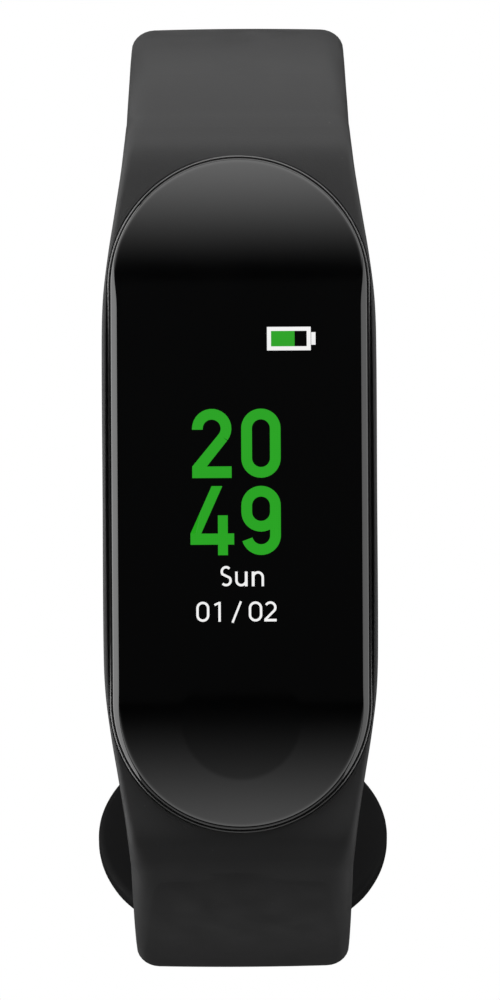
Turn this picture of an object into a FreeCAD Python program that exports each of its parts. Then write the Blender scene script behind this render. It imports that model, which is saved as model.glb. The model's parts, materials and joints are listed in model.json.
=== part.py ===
import FreeCAD, Part
import math
import os
import Sketcher

# Fitness tracker band: a glass-fronted tracker capsule in a one-piece silicone band.
#
# Millimetres.  The origin is the centre of the wrist opening.  X runs across the band, along the
# wearer's arm, -Y is the way the screen faces, and +Z points to the 12 o'clock end of the capsule.
# Depths are kept in the sheet as distances forward of the origin, so a depth of 30 lies at y = -30.
# The band is silicone in one moulding.  Here it is a chain of short links on hinges, so that it can
# open: the long strap leaves the top of the cradle and the short strap leaves the bottom.

SIZES = [
    # capsule
    ("capsule_width", 17.84), ("capsule_length", 46.6),
    ("lens_back", 32.2), ("lens_front", 34.2), ("lens_bow_radius", 229.0), ("lens_edge_radius", 0.35),
    ("key_centre_z", -15.63), ("key_radius", 4.1), ("key_depth", 0.22),
    ("trim_width", 18.24), ("trim_length", 47.04), ("trim_front", 32.6),
    ("trim_inner_width", 17.88), ("trim_inner_length", 46.64),
    ("trim_flange_width", 17.26), ("trim_flange_length", 46.16),
    ("glue_width", 17.2), ("glue_length", 46.1), ("glue_inner_width", 15.9), ("glue_inner_length", 44.8),
    ("glue_back", 32.05),
    ("case_width", 17.5), ("case_length", 46.4), ("case_wall", 0.9), ("case_back", 24.5),
    ("case_floor", 0.9), ("case_edge_radius", 2.0),
    ("port_width", 13.4), ("port_length", 38.0),
    ("cover_width", 15.0), ("cover_length", 40.8), ("cover_back", 23.0), ("cover_edge_radius", 0.5),
    ("plug_width", 13.2), ("plug_length", 37.8), ("plug_front", 25.35),
    ("seal_width", 14.5), ("seal_length", 40.0), ("seal_band", 0.4), ("seal_thick", 0.45),
    ("window_wide", 8.0), ("window_tall", 6.6), ("window_back", 22.45), ("window_thick", 1.1),
    ("window_z", 13.0), ("window_play", 0.05), ("window_edge_radius", 0.35),
    ("frame_width", 15.5), ("frame_length", 44.4), ("frame_back", 29.3), ("frame_thick", 0.8),
    ("frame_view_wide", 12.4), ("frame_view_tall", 20.0), ("frame_view_z", 2.3),
    ("frame_slot_wide", 9.0), ("frame_slot_tall", 3.4), ("frame_slot_z", -11.3),
    ("board_width", 15.3), ("board_length", 44.0), ("board_back", 28.4), ("board_thick", 0.8),
    ("barrier_wide", 3.5), ("barrier_hole", 2.7), ("barrier_thick", 1.5),
    ("motor_radius", 3.5), ("motor_back", 25.45), ("motor_thick", 2.5), ("motor_skin", 0.2),
    ("motor_z", -18.2), ("motor_base_thick", 0.25), ("motor_base_play", 0.05),
    ("shaft_radius", 0.35), ("rotor_bore_radius", 0.38), ("rotor_radius", 3.05), ("rotor_thick", 0.35),
    ("weight_radius", 3.0), ("weight_inner_radius", 1.4), ("weight_thick", 0.6),
    ("magnet_radius", 2.4), ("magnet_inner_radius", 1.0), ("magnet_thick", 0.5),
    ("rotor_gap", 0.15),
    # cradle
    ("cradle_width", 19.06), ("cradle_straight", 10.5), ("cradle_waist_z", 19.0),
    ("cradle_waist_half", 8.6), ("cradle_root_z", 28.0),
    ("cradle_back", 23.4), ("cradle_front", 32.9), ("cradle_front_end", 31.9), ("cradle_front_end_z", 24.2),
    ("cradle_heel_y", 26.5), ("cradle_heel_z", 24.35), ("cradle_toe_y", 24.0), ("cradle_toe_z", 22.0),
    ("cradle_rear_z", 21.0),
    ("pocket_play", 0.07), ("pocket_step", 31.85), ("ledge_back", 24.4),
    ("window_ledge_play", 0.15), ("cut_extra", 1.0),
    # straps
    ("root_y", -29.0), ("root_z", 26.0), ("root_heading", 50.0),
    ("strap_thick", 2.2), ("tail_thick", 2.0), ("joint_gap", 0.15),
    ("long_width", 15.1), ("short_width", 15.4),
    ("hole_pitch", 6.2), ("hole_wide", 3.6), ("hole_tall", 2.3),
    ("paddle_radius", 11.0), ("paddle_centre", 4.85), ("paddle_blank_width", 24.2),
    ("slot_centre", 6.9), ("slot_tall", 7.3), ("slot_wide", 16.0),
    ("tip_corner", 4.5),
    # clasp stud
    ("stud_neck_radius", 1.0), ("stud_head_radius", 2.3), ("stud_head_thick", 0.9),
    ("stud_head_edge", 0.3), ("stud_flange_radius", 1.9), ("stud_flange_thick", 0.6), ("stud_play", 0.06),
    ("tail_gap", 0.15),
]

# Each strap is a list of links, and each link a list of (length along the strap, turn in degrees).
LONG_LINKS = [
    [(7.68, 25.0)], [(7.68, 25.0)], [(7.619, 10.0)], [(7.619, 10.0)], [(10.45, 25.0)], [(10.45, 25.0)],
    [(20.973, 20.0)], [(19.982, 0.0)], [(6.033, 45.0), (2.0, 0.0), (4.03, 16.2)],
]
SHORT_LINKS = [
    [(7.9, 22.5)], [(7.9, 22.5)], [(19.0, 5.0)], [(6.283, 30.0)], [(3.142, 15.0), (15.85, 0.0)],
]
LAST_THICK_LINK = 8
HOLE_COUNT = 8
TINY = 1e-4

# Electronics that are plain blocks: width along X, thickness along Y, height along Z, centre x,
# depth of the rear face, centre z.
BLOCKS = {
    "display_panel": (13.5, 1.1, 26.0, 0.0, 31.1, 2.3),
    "display_backlight": (13.7, 0.95, 26.6, 0.0, 30.15, 2.3),
    "display_flex": (7.0, 1.1, 0.14, 0.0, 30.0, -11.6),
    "display_connector": (7.4, 0.75, 1.8, 0.0, 29.2, -11.6),
    "processor_chip": (5.0, 0.75, 5.0, -3.4, 27.65, 13.6),
    "memory_chip": (4.0, 0.7, 3.0, 3.4, 27.7, 14.8),
    "motion_sensor_chip": (2.0, 0.7, 2.0, 2.6, 27.7, 11.4),
    "clock_crystal": (1.6, 0.5, 2.5, 5.6, 27.9, 11.2),
    "radio_antenna": (5.0, 0.6, 1.2, 0.0, 27.8, 20.2),
    "battery_cell": (11.8, 2.75, 24.0, 0.0, 25.45, -2.2),
    "battery_guard_board": (9.0, 0.7, 1.6, 0.0, 26.6, 10.65),
    "sensor_board": (9.4, 0.5, 8.2, 0.0, 25.45, 15.4),
    "sensor_flex": (3.0, 0.14, 3.0, 0.0, 26.0, 20.6),
    "pulse_photodiode": (2.4, 0.45, 2.4, 0.0, 25.0, 13.0),
}

# Groups of equal small parts in one piece: block size, depth of the rear face, list of (x, z).
GROUPS = {
    "pulse_leds": ((1.2, 0.4, 1.6), 25.05, [(-2.9, 13.0), (2.9, 13.0)]),
    "board_capacitors": (
        (0.6, 0.5, 1.0), 27.9,
        [(-6.4, 16.0), (-6.4, 14.0), (-6.4, 12.0), (6.4, 16.8), (0.4, 16.4), (0.4, 14.2)],
    ),
    "battery_leads": ((0.5, 1.1, 0.8), 27.3, [(-0.3, 10.5), (0.7, 10.5)]),
}

# Round parts on an axis along Y: radius, thickness, depth of the rear face, list of (x, z).
DISCS = {
    "touch_electrode": (3.8, 0.14, 32.06, [(0.0, -15.63)]),
    "charging_contacts": (1.1, 1.5, 22.95, [(-2.9, -13.0), (2.9, -13.0)]),
}

X_AXIS = FreeCAD.Vector(1, 0, 0)
Y_AXIS = FreeCAD.Vector(0, 1, 0)
Z_AXIS = FreeCAD.Vector(0, 0, 1)

doc = FreeCAD.newDocument("tracker_band")
sheet = doc.addObject("Spreadsheet::Sheet", "dims")


def write_sheet():
    """Writes every driving dimension to the sheet, one row each, with its alias."""
    rows = list(SIZES)
    for strap, links in (("long", LONG_LINKS), ("short", SHORT_LINKS)):
        for number, pieces in enumerate(links, 1):
            for order, (length, turn) in enumerate(pieces, 1):
                rows.append((f"{strap}_link_{number}_{order}_length", length))
                rows.append((f"{strap}_link_{number}_{order}_turn", turn))
    for label, values in BLOCKS.items():
        for field, value in zip(("wide", "thick", "tall", "centre_x", "depth", "centre_z"), values):
            rows.append((f"{label}_{field}", value))
    for label, (size, depth, spots) in GROUPS.items():
        for field, value in zip(("wide", "thick", "tall"), size):
            rows.append((f"{label}_{field}", value))
        rows.append((f"{label}_depth", depth))
    for label, (radius, thick, depth, spots) in DISCS.items():
        rows.append((f"{label}_radius", radius))
        rows.append((f"{label}_thick", thick))
        rows.append((f"{label}_depth", depth))
    for row, (alias, value) in enumerate(rows, 1):
        sheet.set(f"A{row}", alias)
        sheet.set(f"B{row}", str(value))
        sheet.setAlias(f"B{row}", alias)
    doc.recompute()


def size(alias):
    """A dimension read back from the sheet."""
    return float(sheet.get(alias))


def bind(obj, **sizes):
    """Binds properties of obj to expressions over the sheet's aliases."""
    for prop, expression in sizes.items():
        obj.setExpression(prop.replace("__", "."), expression)


def origin_plane(body, role):
    """The body's own origin plane with this role."""
    for feature in body.Origin.OriginFeatures:
        if feature.Role == role:
            return feature
    raise RuntimeError(role)


def new_body(label, role):
    """A body with one sketch on its own origin plane."""
    body = doc.addObject("PartDesign::Body", label)
    sketch = body.newObject("Sketcher::SketchObject", label + "_sketch")
    sketch.AttachmentSupport = [(origin_plane(body, role), "")]
    sketch.MapMode = "FlatFace"
    return body, sketch


def add_stadium(sketch, prefix, width, length):
    """A closed stadium about the sketch's origin; width and length are sheet expressions."""
    wide = evaluate(width)
    tall = evaluate(length)
    radius = wide / 2
    half = (tall - wide) / 2
    first = sketch.GeometryCount
    top = Part.Circle(FreeCAD.Vector(0, half, 0), Z_AXIS, radius)
    bottom = Part.Circle(FreeCAD.Vector(0, -half, 0), Z_AXIS, radius)
    sketch.addGeometry([
        Part.ArcOfCircle(top, 0, math.pi),
        Part.LineSegment(FreeCAD.Vector(-radius, half, 0), FreeCAD.Vector(-radius, -half, 0)),
        Part.ArcOfCircle(bottom, math.pi, 2 * math.pi),
        Part.LineSegment(FreeCAD.Vector(radius, -half, 0), FreeCAD.Vector(radius, half, 0)),
    ], False)
    arc_top, left, arc_bottom, right = range(first, first + 4)
    sketch.addConstraint([
        Sketcher.Constraint("Tangent", arc_top, 2, left, 1),
        Sketcher.Constraint("Tangent", left, 2, arc_bottom, 1),
        Sketcher.Constraint("Tangent", arc_bottom, 2, right, 1),
        Sketcher.Constraint("Tangent", right, 2, arc_top, 1),
        Sketcher.Constraint("Equal", arc_top, arc_bottom),
        Sketcher.Constraint("Symmetric", arc_top, 3, arc_bottom, 3, -1, 1),
        Sketcher.Constraint("PointOnObject", arc_top, 3, -2),
    ])
    index = sketch.addConstraint(Sketcher.Constraint("Radius", arc_top, radius))
    sketch.renameConstraint(index, prefix + "_end")
    sketch.setExpression("Constraints." + prefix + "_end", f"({width}) / 2")
    index = sketch.addConstraint(Sketcher.Constraint("DistanceY", arc_bottom, 3, arc_top, 3, 2 * half))
    sketch.renameConstraint(index, prefix + "_span")
    sketch.setExpression("Constraints." + prefix + "_span", f"({length}) - ({width})")


def evaluate(expression):
    """The value of a sum of aliases and numbers such as 'dims.case_width - 2 * dims.case_wall'."""
    return float(sheet.evalExpression(expression.replace("dims.", "")))


def stadium_body(label, depth, thick, outer, inner=None):
    """A stadium plate or ring facing -Y: its rear face lies at this depth."""
    body, sketch = new_body(label, "XZ_Plane")
    add_stadium(sketch, "outer", *outer)
    if inner:
        add_stadium(sketch, "inner", *inner)
    pad = body.newObject("PartDesign::Pad", label + "_pad")
    pad.Profile = sketch
    pad.Length = evaluate(thick)
    bind(pad, Length=thick)
    bind(body, Placement__Base__y=f"-({depth})")
    doc.recompute()
    return body


def round_edges(body, depth, radius):
    """Rounds the edges of the body that lie wholly at this depth."""
    level = -evaluate(depth)
    tip = body.Tip
    names = []
    for number, edge in enumerate(tip.Shape.Edges, 1):
        box = edge.BoundBox
        y_low = box.YMin + body.Placement.Base.y
        y_high = box.YMax + body.Placement.Base.y
        if abs(y_low - level) < TINY and abs(y_high - level) < TINY:
            names.append(f"Edge{number}")
    fillet = body.newObject("PartDesign::Fillet", body.Name + "_round")
    fillet.Base = (tip, names)
    fillet.Radius = evaluate(radius)
    bind(fillet, Radius=radius)
    body.Tip = fillet
    doc.recompute()
    return body


def block(label, wide, thick, tall, centre_x, depth, centre_z):
    """A box whose rear face lies at this depth; all arguments are sheet expressions."""
    box = doc.addObject("Part::Box", label)
    bind(
        box, Length=wide, Width=thick, Height=tall,
        Placement__Base__x=f"({centre_x}) - ({wide}) / 2",
        Placement__Base__y=f"-({depth}) - ({thick})",
        Placement__Base__z=f"({centre_z}) - ({tall}) / 2",
    )
    return box


def disc(label, radius, thick, centre_x, depth, centre_z):
    """A cylinder along Y whose rear face lies at this depth."""
    cylinder = doc.addObject("Part::Cylinder", label)
    bind(
        cylinder, Radius=radius, Height=thick,
        Placement__Base__x=centre_x, Placement__Base__y=f"-({depth})", Placement__Base__z=centre_z,
    )
    cylinder.Placement.Rotation = FreeCAD.Rotation(X_AXIS, 90)
    return cylinder


def combine(kind, label, shapes):
    """A boolean of several shapes: MultiFuse, MultiCommon, or Cut with the first as the base."""
    if kind == "Cut":
        result = doc.addObject("Part::Cut", label)
        result.Base = shapes[0]
        result.Tool = shapes[1]
        if len(shapes) > 2:
            result.Tool = combine("MultiFuse", label + "_tools", shapes[1:])
        return result
    result = doc.addObject("Part::" + kind, label)
    result.Shapes = shapes
    return result


def walk(strap, links, sign):
    """Points (y, z, heading in degrees) along the strap at each end of every piece of its links.

    Heading 0 runs along +Y.  The long strap turns clockwise (sign -1), the short one the other way.
    """
    y = size("root_y")
    z = -sign * size("root_z")
    heading = -sign * size("root_heading")
    stations = [[(y, z, heading)]]
    for number, pieces in enumerate(links, 1):
        for order in range(1, len(pieces) + 1):
            length = size(f"{strap}_link_{number}_{order}_length")
            turn = math.radians(sign * size(f"{strap}_link_{number}_{order}_turn"))
            start = math.radians(heading)
            if abs(turn) < TINY:
                y += length * math.cos(start)
                z += length * math.sin(start)
            else:
                radius = length / turn
                y += radius * (math.sin(start + turn) - math.sin(start))
                z -= radius * (math.cos(start + turn) - math.cos(start))
                heading += math.degrees(turn)
            stations[-1].append((y, z, heading))
        stations.append([(y, z, heading)])
    return stations[:-1]


def offset(station, distance):
    """The sketch point this far to the left of the strap's line at a station."""
    y, z, heading = station
    angle = math.radians(heading)
    return FreeCAD.Vector(y - distance * math.sin(angle), z + distance * math.cos(angle), 0)


def along(station, distance):
    """The station moved straight along its heading."""
    y, z, heading = station
    angle = math.radians(heading)
    return (y + distance * math.cos(angle), z + distance * math.sin(angle), heading)


def middle(first, last):
    """The station halfway along the arc or line between two stations."""
    y0, z0, h0 = first
    y1, z1, h1 = last
    turn = math.radians(h1 - h0)
    chord = math.hypot(y1 - y0, z1 - z0)
    rise = chord / 2 * math.tan(turn / 4)
    mean = math.radians((h0 + h1) / 2)
    return (
        (y0 + y1) / 2 + rise * math.sin(mean),
        (z0 + z1) / 2 - rise * math.cos(mean),
        (h0 + h1) / 2,
    )


def side_edge(first, last, distance):
    """One long edge of a link's outline, at this distance from the line of the strap."""
    start = offset(first, distance)
    end = offset(last, distance)
    if abs(first[2] - last[2]) < TINY:
        return Part.LineSegment(start, end)
    return Part.Arc(start, offset(middle(first, last), distance), end)


def shortened(first, last, gap_radius, half):
    """The stations on both faces of the link where the round seat of the next joint begins."""
    back = math.sqrt(gap_radius ** 2 - half ** 2)
    length = math.hypot(last[0] - first[0], last[1] - first[1])
    if abs(first[2] - last[2]) < TINY:
        trimmed = along(last, -back)
        return trimmed, trimmed
    turn = math.radians(last[2] - first[2])
    radius = length / 2 / math.sin(turn / 2)
    results = []
    for side in (half, -half):
        face = abs(radius - side)
        line = abs(radius)
        cosine = (face ** 2 + line ** 2 - gap_radius ** 2) / (2 * face * line)
        angle = math.copysign(math.acos(cosine), turn)
        heading = math.radians(last[2])
        y = last[0] + radius * (math.sin(heading - angle) - math.sin(heading))
        z = last[1] - radius * (math.cos(heading - angle) - math.cos(heading))
        results.append((y, z, last[2] - math.degrees(angle)))
    return results[0], results[1]


def link_body(label, stations, thick, width, seat):
    """One strap link: a round nose at its start and, with seat, a round seat at its end."""
    body, sketch = new_body(label, "YZ_Plane")
    half = evaluate(thick) / 2
    gap_radius = half + size("joint_gap")
    left_end = stations[-1]
    right_end = stations[-1]
    if seat:
        left_end, right_end = shortened(stations[-2], stations[-1], gap_radius, half)
    geometry = []
    inner = list(zip(stations[:-1], stations[1:]))
    for number, (first, last) in enumerate(inner):
        geometry.append(side_edge(first, left_end if number == len(inner) - 1 else last, half))
    left_point = offset(left_end, half)
    right_point = offset(right_end, -half)
    if seat:
        hollow = offset(along(stations[-1], -gap_radius), 0)
        geometry.append(Part.Arc(left_point, hollow, right_point))
    else:
        geometry.append(Part.LineSegment(left_point, right_point))
    for number, (first, last) in enumerate(reversed(inner)):
        geometry.append(side_edge(first, right_end if number == 0 else last, -half))
    nose = offset(along(stations[0], -half), 0)
    geometry.append(Part.Arc(offset(stations[0], -half), nose, offset(stations[0], half)))
    for curve in geometry:
        sketch.addGeometry(curve, False)
    nose_index = sketch.addConstraint(Sketcher.Constraint("Radius", len(geometry) - 1, half))
    sketch.renameConstraint(nose_index, "nose")
    sketch.setExpression("Constraints.nose", f"({thick}) / 2")
    pad = body.newObject("PartDesign::Pad", label + "_pad")
    pad.Profile = sketch
    pad.Midplane = True
    pad.Length = evaluate(width)
    bind(pad, Length=width)
    doc.recompute()
    return body


def strap_placement(station):
    """A placement at a strap station: local Z along the strap, local X across it."""
    y, z, heading = station
    turned = FreeCAD.Rotation(X_AXIS, heading - 90)
    return FreeCAD.Placement(FreeCAD.Vector(0, y, z), turned)


def pin_tool(label, station, radius, start, height):
    """A cylinder through the strap at a station, square to its face.

    It starts this far from the strap's middle surface on the right-hand side of the heading.
    """
    tool = doc.addObject("Part::Cylinder", label)
    bind(tool, Radius=radius, Height=height)
    local = FreeCAD.Placement(FreeCAD.Vector(0, evaluate(start), 0), FreeCAD.Rotation(X_AXIS, -90))
    tool.Placement = strap_placement(station).multiply(local)
    return tool


def pill_tool(label, station):
    """The cutter of one adjustment hole: a pill across the strap, square to its face."""
    body, sketch = new_body(label, "XZ_Plane")
    add_stadium(sketch, "hole", "dims.hole_tall", "dims.hole_wide")
    pad = body.newObject("PartDesign::Pad", label + "_pad")
    pad.Profile = sketch
    pad.Midplane = True
    pad.Length = size("strap_thick") * 2
    bind(pad, Length="dims.strap_thick * 2")
    across = FreeCAD.Placement(FreeCAD.Vector(), FreeCAD.Rotation(Y_AXIS, 90))
    body.Placement = strap_placement(station).multiply(across)
    doc.recompute()
    return body


write_sheet()
nodes = []


# Capsule front: the bowed cover glass with the dished touch key, and what is bonded behind it.
lens_blank = stadium_body(
    "lens_blank", "dims.lens_back", "dims.lens_front - dims.lens_back",
    ("dims.capsule_width", "dims.capsule_length"),
)
lens_bow = doc.addObject("Part::Cylinder", "lens_bow")
bind(
    lens_bow, Radius="dims.lens_bow_radius", Height="dims.capsule_width * 2",
    Placement__Base__x="-dims.capsule_width",
    Placement__Base__y="dims.lens_bow_radius - dims.lens_front",
)
lens_bow.Placement.Rotation = FreeCAD.Rotation(Y_AXIS, 90)
lens_body = combine("MultiCommon", "lens_bowed", [lens_blank, lens_bow])
doc.recompute()
lens_rounded = doc.addObject("Part::Fillet", "lens_rounded")
lens_rounded.Base = lens_body
front_limit = -size("lens_back") - size("lens_edge_radius")
lens_rounded.Edges = [
    (number, size("lens_edge_radius"), size("lens_edge_radius"))
    for number, edge in enumerate(lens_body.Shape.Edges, 1)
    if edge.BoundBox.YMax < front_limit
]
key_ball = doc.addObject("Part::Sphere", "key_ball")
bind(
    key_ball,
    Radius="(dims.key_radius ^ 2 + dims.key_depth ^ 2) / (2 * dims.key_depth)",
    Placement__Base__z="dims.key_centre_z",
)
ball_radius = (size("key_radius") ** 2 + size("key_depth") ** 2) / (2 * size("key_depth"))
key_surface = size("lens_front") - size("key_centre_z") ** 2 / (2 * size("lens_bow_radius"))
key_ball.Placement.Base.y = -(key_surface - size("key_depth") + ball_radius)
nodes.append(combine("Cut", "lens_cover", [lens_rounded, key_ball]))

# Trim ring: a glossy rim round the glass, held by a flange between the case and the glass.
trim_wall = stadium_body(
    "trim_wall", "dims.lens_back", "dims.trim_front - dims.lens_back",
    ("dims.trim_width", "dims.trim_length"), ("dims.trim_inner_width", "dims.trim_inner_length"),
)
trim_flange = stadium_body(
    "trim_flange", "dims.glue_back", "dims.lens_back - dims.glue_back",
    ("dims.trim_width", "dims.trim_length"), ("dims.trim_flange_width", "dims.trim_flange_length"),
)
nodes.append(combine("MultiFuse", "trim_ring", [trim_wall, trim_flange]))

nodes.append(stadium_body(
    "lens_adhesive", "dims.glue_back", "dims.lens_back - dims.glue_back",
    ("dims.glue_width", "dims.glue_length"), ("dims.glue_inner_width", "dims.glue_inner_length"),
))

# Capsule case: a round-cornered tub with a floor, open at the rear for the cover plug.
case_block = stadium_body(
    "case_block", "dims.case_back", "dims.glue_back - dims.case_back",
    ("dims.case_width", "dims.case_length"),
)
round_edges(case_block, "dims.case_back", "dims.case_edge_radius")
case_hollow = stadium_body(
    "case_hollow", "dims.case_back + dims.case_floor", "dims.glue_back - dims.case_back",
    ("dims.case_width - 2 * dims.case_wall", "dims.case_length - 2 * dims.case_wall"),
)
case_port = stadium_body(
    "case_port", "dims.case_back - dims.cut_extra", "dims.case_floor + 2 * dims.cut_extra",
    ("dims.port_width", "dims.port_length"),
)
nodes.append(combine("Cut", "capsule_case", [case_block, case_hollow, case_port]))

# Rear cover: the raised island that the skin touches, with its plug, sensor window and contacts.
cover_island = stadium_body(
    "cover_island", "dims.cover_back", "dims.case_back - dims.cover_back",
    ("dims.cover_width", "dims.cover_length"),
)
round_edges(cover_island, "dims.cover_back", "dims.cover_edge_radius")
cover_plug = stadium_body(
    "cover_plug", "dims.case_back", "dims.plug_front - dims.case_back",
    ("dims.plug_width", "dims.plug_length"),
)
cover_solid = combine("MultiFuse", "cover_solid", [cover_island, cover_plug])
seal_groove = stadium_body(
    "seal_groove", "dims.case_back - dims.seal_thick", "dims.seal_thick",
    ("dims.seal_width", "dims.seal_length"),
    ("dims.seal_width - 2 * dims.seal_band", "dims.seal_length - 2 * dims.seal_band"),
)
cover_cut_depth = "dims.cover_back - dims.cut_extra"
cover_cut_thick = "dims.plug_front - dims.cover_back + 2 * dims.cut_extra"
window_hole = block(
    "window_hole", "dims.window_wide + 2 * dims.window_play", cover_cut_thick,
    "dims.window_tall + 2 * dims.window_play", "0", cover_cut_depth, "dims.window_z",
)
contact_holes = [
    disc(
        f"contact_hole_{number}", "dims.charging_contacts_radius", cover_cut_thick,
        str(spot_x), cover_cut_depth, str(spot_z),
    )
    for number, (spot_x, spot_z) in enumerate(DISCS["charging_contacts"][3])
]
nodes.append(combine("Cut", "rear_cover", [cover_solid, seal_groove, window_hole] + contact_holes))
nodes.append(stadium_body(
    "cover_seal", "dims.case_back - dims.seal_thick", "dims.seal_thick",
    ("dims.seal_width", "dims.seal_length"),
    ("dims.seal_width - 2 * dims.seal_band", "dims.seal_length - 2 * dims.seal_band"),
))
window_block = block(
    "window_block", "dims.window_wide", "dims.window_thick", "dims.window_tall",
    "0", "dims.window_back", "dims.window_z",
)
doc.recompute()
window = doc.addObject("Part::Fillet", "sensor_window")
window.Base = window_block
window.Edges = [
    (number, size("window_edge_radius"), size("window_edge_radius"))
    for number, edge in enumerate(window_block.Shape.Edges, 1)
    if edge.BoundBox.YMin > -size("window_back") - TINY
]
nodes.append(window)

# Inner frame that carries the display over the main board.
frame_plate = stadium_body(
    "frame_plate", "dims.frame_back", "dims.frame_thick", ("dims.frame_width", "dims.frame_length"),
)
frame_cut_depth = "dims.frame_back - dims.cut_extra"
frame_cut_thick = "dims.frame_thick + 2 * dims.cut_extra"
frame_view = block(
    "frame_view", "dims.frame_view_wide", frame_cut_thick, "dims.frame_view_tall",
    "0", frame_cut_depth, "dims.frame_view_z",
)
frame_slot = block(
    "frame_slot", "dims.frame_slot_wide", frame_cut_thick, "dims.frame_slot_tall",
    "0", frame_cut_depth, "dims.frame_slot_z",
)
nodes.append(combine("Cut", "inner_frame", [frame_plate, frame_view, frame_slot]))
nodes.append(stadium_body(
    "main_board", "dims.board_back", "dims.board_thick", ("dims.board_width", "dims.board_length"),
))

for name in BLOCKS:
    nodes.append(block(name, *[
        f"dims.{name}_{field}" for field in ("wide", "thick", "tall", "centre_x", "depth", "centre_z")
    ]))

for name, (_, _, spots) in GROUPS.items():
    members = [
        block(
            f"{name}_{number}", f"dims.{name}_wide", f"dims.{name}_thick", f"dims.{name}_tall",
            str(spot_x), f"dims.{name}_depth", str(spot_z),
        )
        for number, (spot_x, spot_z) in enumerate(spots, 1)
    ]
    nodes.append(combine("MultiFuse", name, members))

for name, (_, _, _, spots) in DISCS.items():
    members = [
        disc(
            name if len(spots) == 1 else f"{name}_{number}", f"dims.{name}_radius", f"dims.{name}_thick",
            str(spot_x), f"dims.{name}_depth", str(spot_z),
        )
        for number, (spot_x, spot_z) in enumerate(spots, 1)
    ]
    nodes.append(members[0] if len(members) == 1 else combine("MultiFuse", name, members))

# Light barrier: a square collar that keeps the LEDs' light off the photodiode.
barrier_outer = block(
    "barrier_outer", "dims.barrier_wide", "dims.barrier_thick", "dims.barrier_wide",
    "0", "dims.sensor_board_depth - dims.barrier_thick", "dims.window_z",
)
barrier_inner = block(
    "barrier_inner", "dims.barrier_hole", "dims.barrier_thick + 2 * dims.cut_extra",
    "dims.barrier_hole", "0", "dims.sensor_board_depth - dims.barrier_thick - dims.cut_extra",
    "dims.window_z",
)
nodes.append(combine("Cut", "light_barrier", [barrier_outer, barrier_inner]))

# Coin vibration motor: can, base, magnet and shaft stay still; the rotor and its weight turn.
can_block = disc(
    "can_block", "dims.motor_radius", "dims.motor_thick", "0", "dims.motor_back", "dims.motor_z",
)
can_hollow = disc(
    "can_hollow", "dims.motor_radius - dims.motor_skin", "dims.motor_thick", "0",
    "dims.motor_back - dims.motor_skin", "dims.motor_z",
)
nodes.append(combine("Cut", "motor_can", [can_block, can_hollow]))
nodes.append(disc(
    "motor_base", "dims.motor_radius - dims.motor_skin - dims.motor_base_play", "dims.motor_base_thick",
    "0", "dims.motor_back", "dims.motor_z",
))
nodes.append(disc(
    "motor_shaft", "dims.shaft_radius",
    "dims.motor_thick - dims.motor_skin - dims.motor_base_thick",
    "0", "dims.motor_back + dims.motor_base_thick", "dims.motor_z",
))
magnet_outer = disc(
    "magnet_outer", "dims.magnet_radius", "dims.magnet_thick", "0",
    "dims.motor_back + dims.motor_base_thick", "dims.motor_z",
)
magnet_inner = disc(
    "magnet_inner", "dims.magnet_inner_radius", "dims.magnet_thick + 2 * dims.cut_extra", "0",
    "dims.motor_back + dims.motor_base_thick - dims.cut_extra", "dims.motor_z",
)
nodes.append(combine("Cut", "motor_magnet", [magnet_outer, magnet_inner]))
rotor_depth = "dims.motor_back + dims.motor_base_thick + dims.magnet_thick + dims.rotor_gap"
rotor_plate = disc("rotor_plate", "dims.rotor_radius", "dims.rotor_thick", "0", rotor_depth, "dims.motor_z")
rotor_bore = disc(
    "rotor_bore", "dims.rotor_bore_radius", "dims.rotor_thick + 2 * dims.cut_extra", "0",
    rotor_depth + " - dims.cut_extra", "dims.motor_z",
)
nodes.append(combine("Cut", "motor_rotor", [rotor_plate, rotor_bore]))
weight_depth = rotor_depth + " + dims.rotor_thick"
weight_disc = disc(
    "weight_disc", "dims.weight_radius", "dims.weight_thick", "0", weight_depth, "dims.motor_z",
)
weight_cut_depth = weight_depth + " - dims.cut_extra"
weight_cut_thick = "dims.weight_thick + 2 * dims.cut_extra"
weight_bore = disc(
    "weight_bore", "dims.weight_inner_radius", weight_cut_thick, "0", weight_cut_depth, "dims.motor_z",
)
weight_half = block(
    "weight_half", "dims.weight_radius * 2", weight_cut_thick, "dims.weight_radius * 2",
    "0", weight_cut_depth, "dims.motor_z - dims.weight_radius",
)
weight_ring = combine("Cut", "weight_ring", [weight_disc, weight_bore])
nodes.append(combine("MultiCommon", "motor_weight", [weight_ring, weight_half]))


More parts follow.
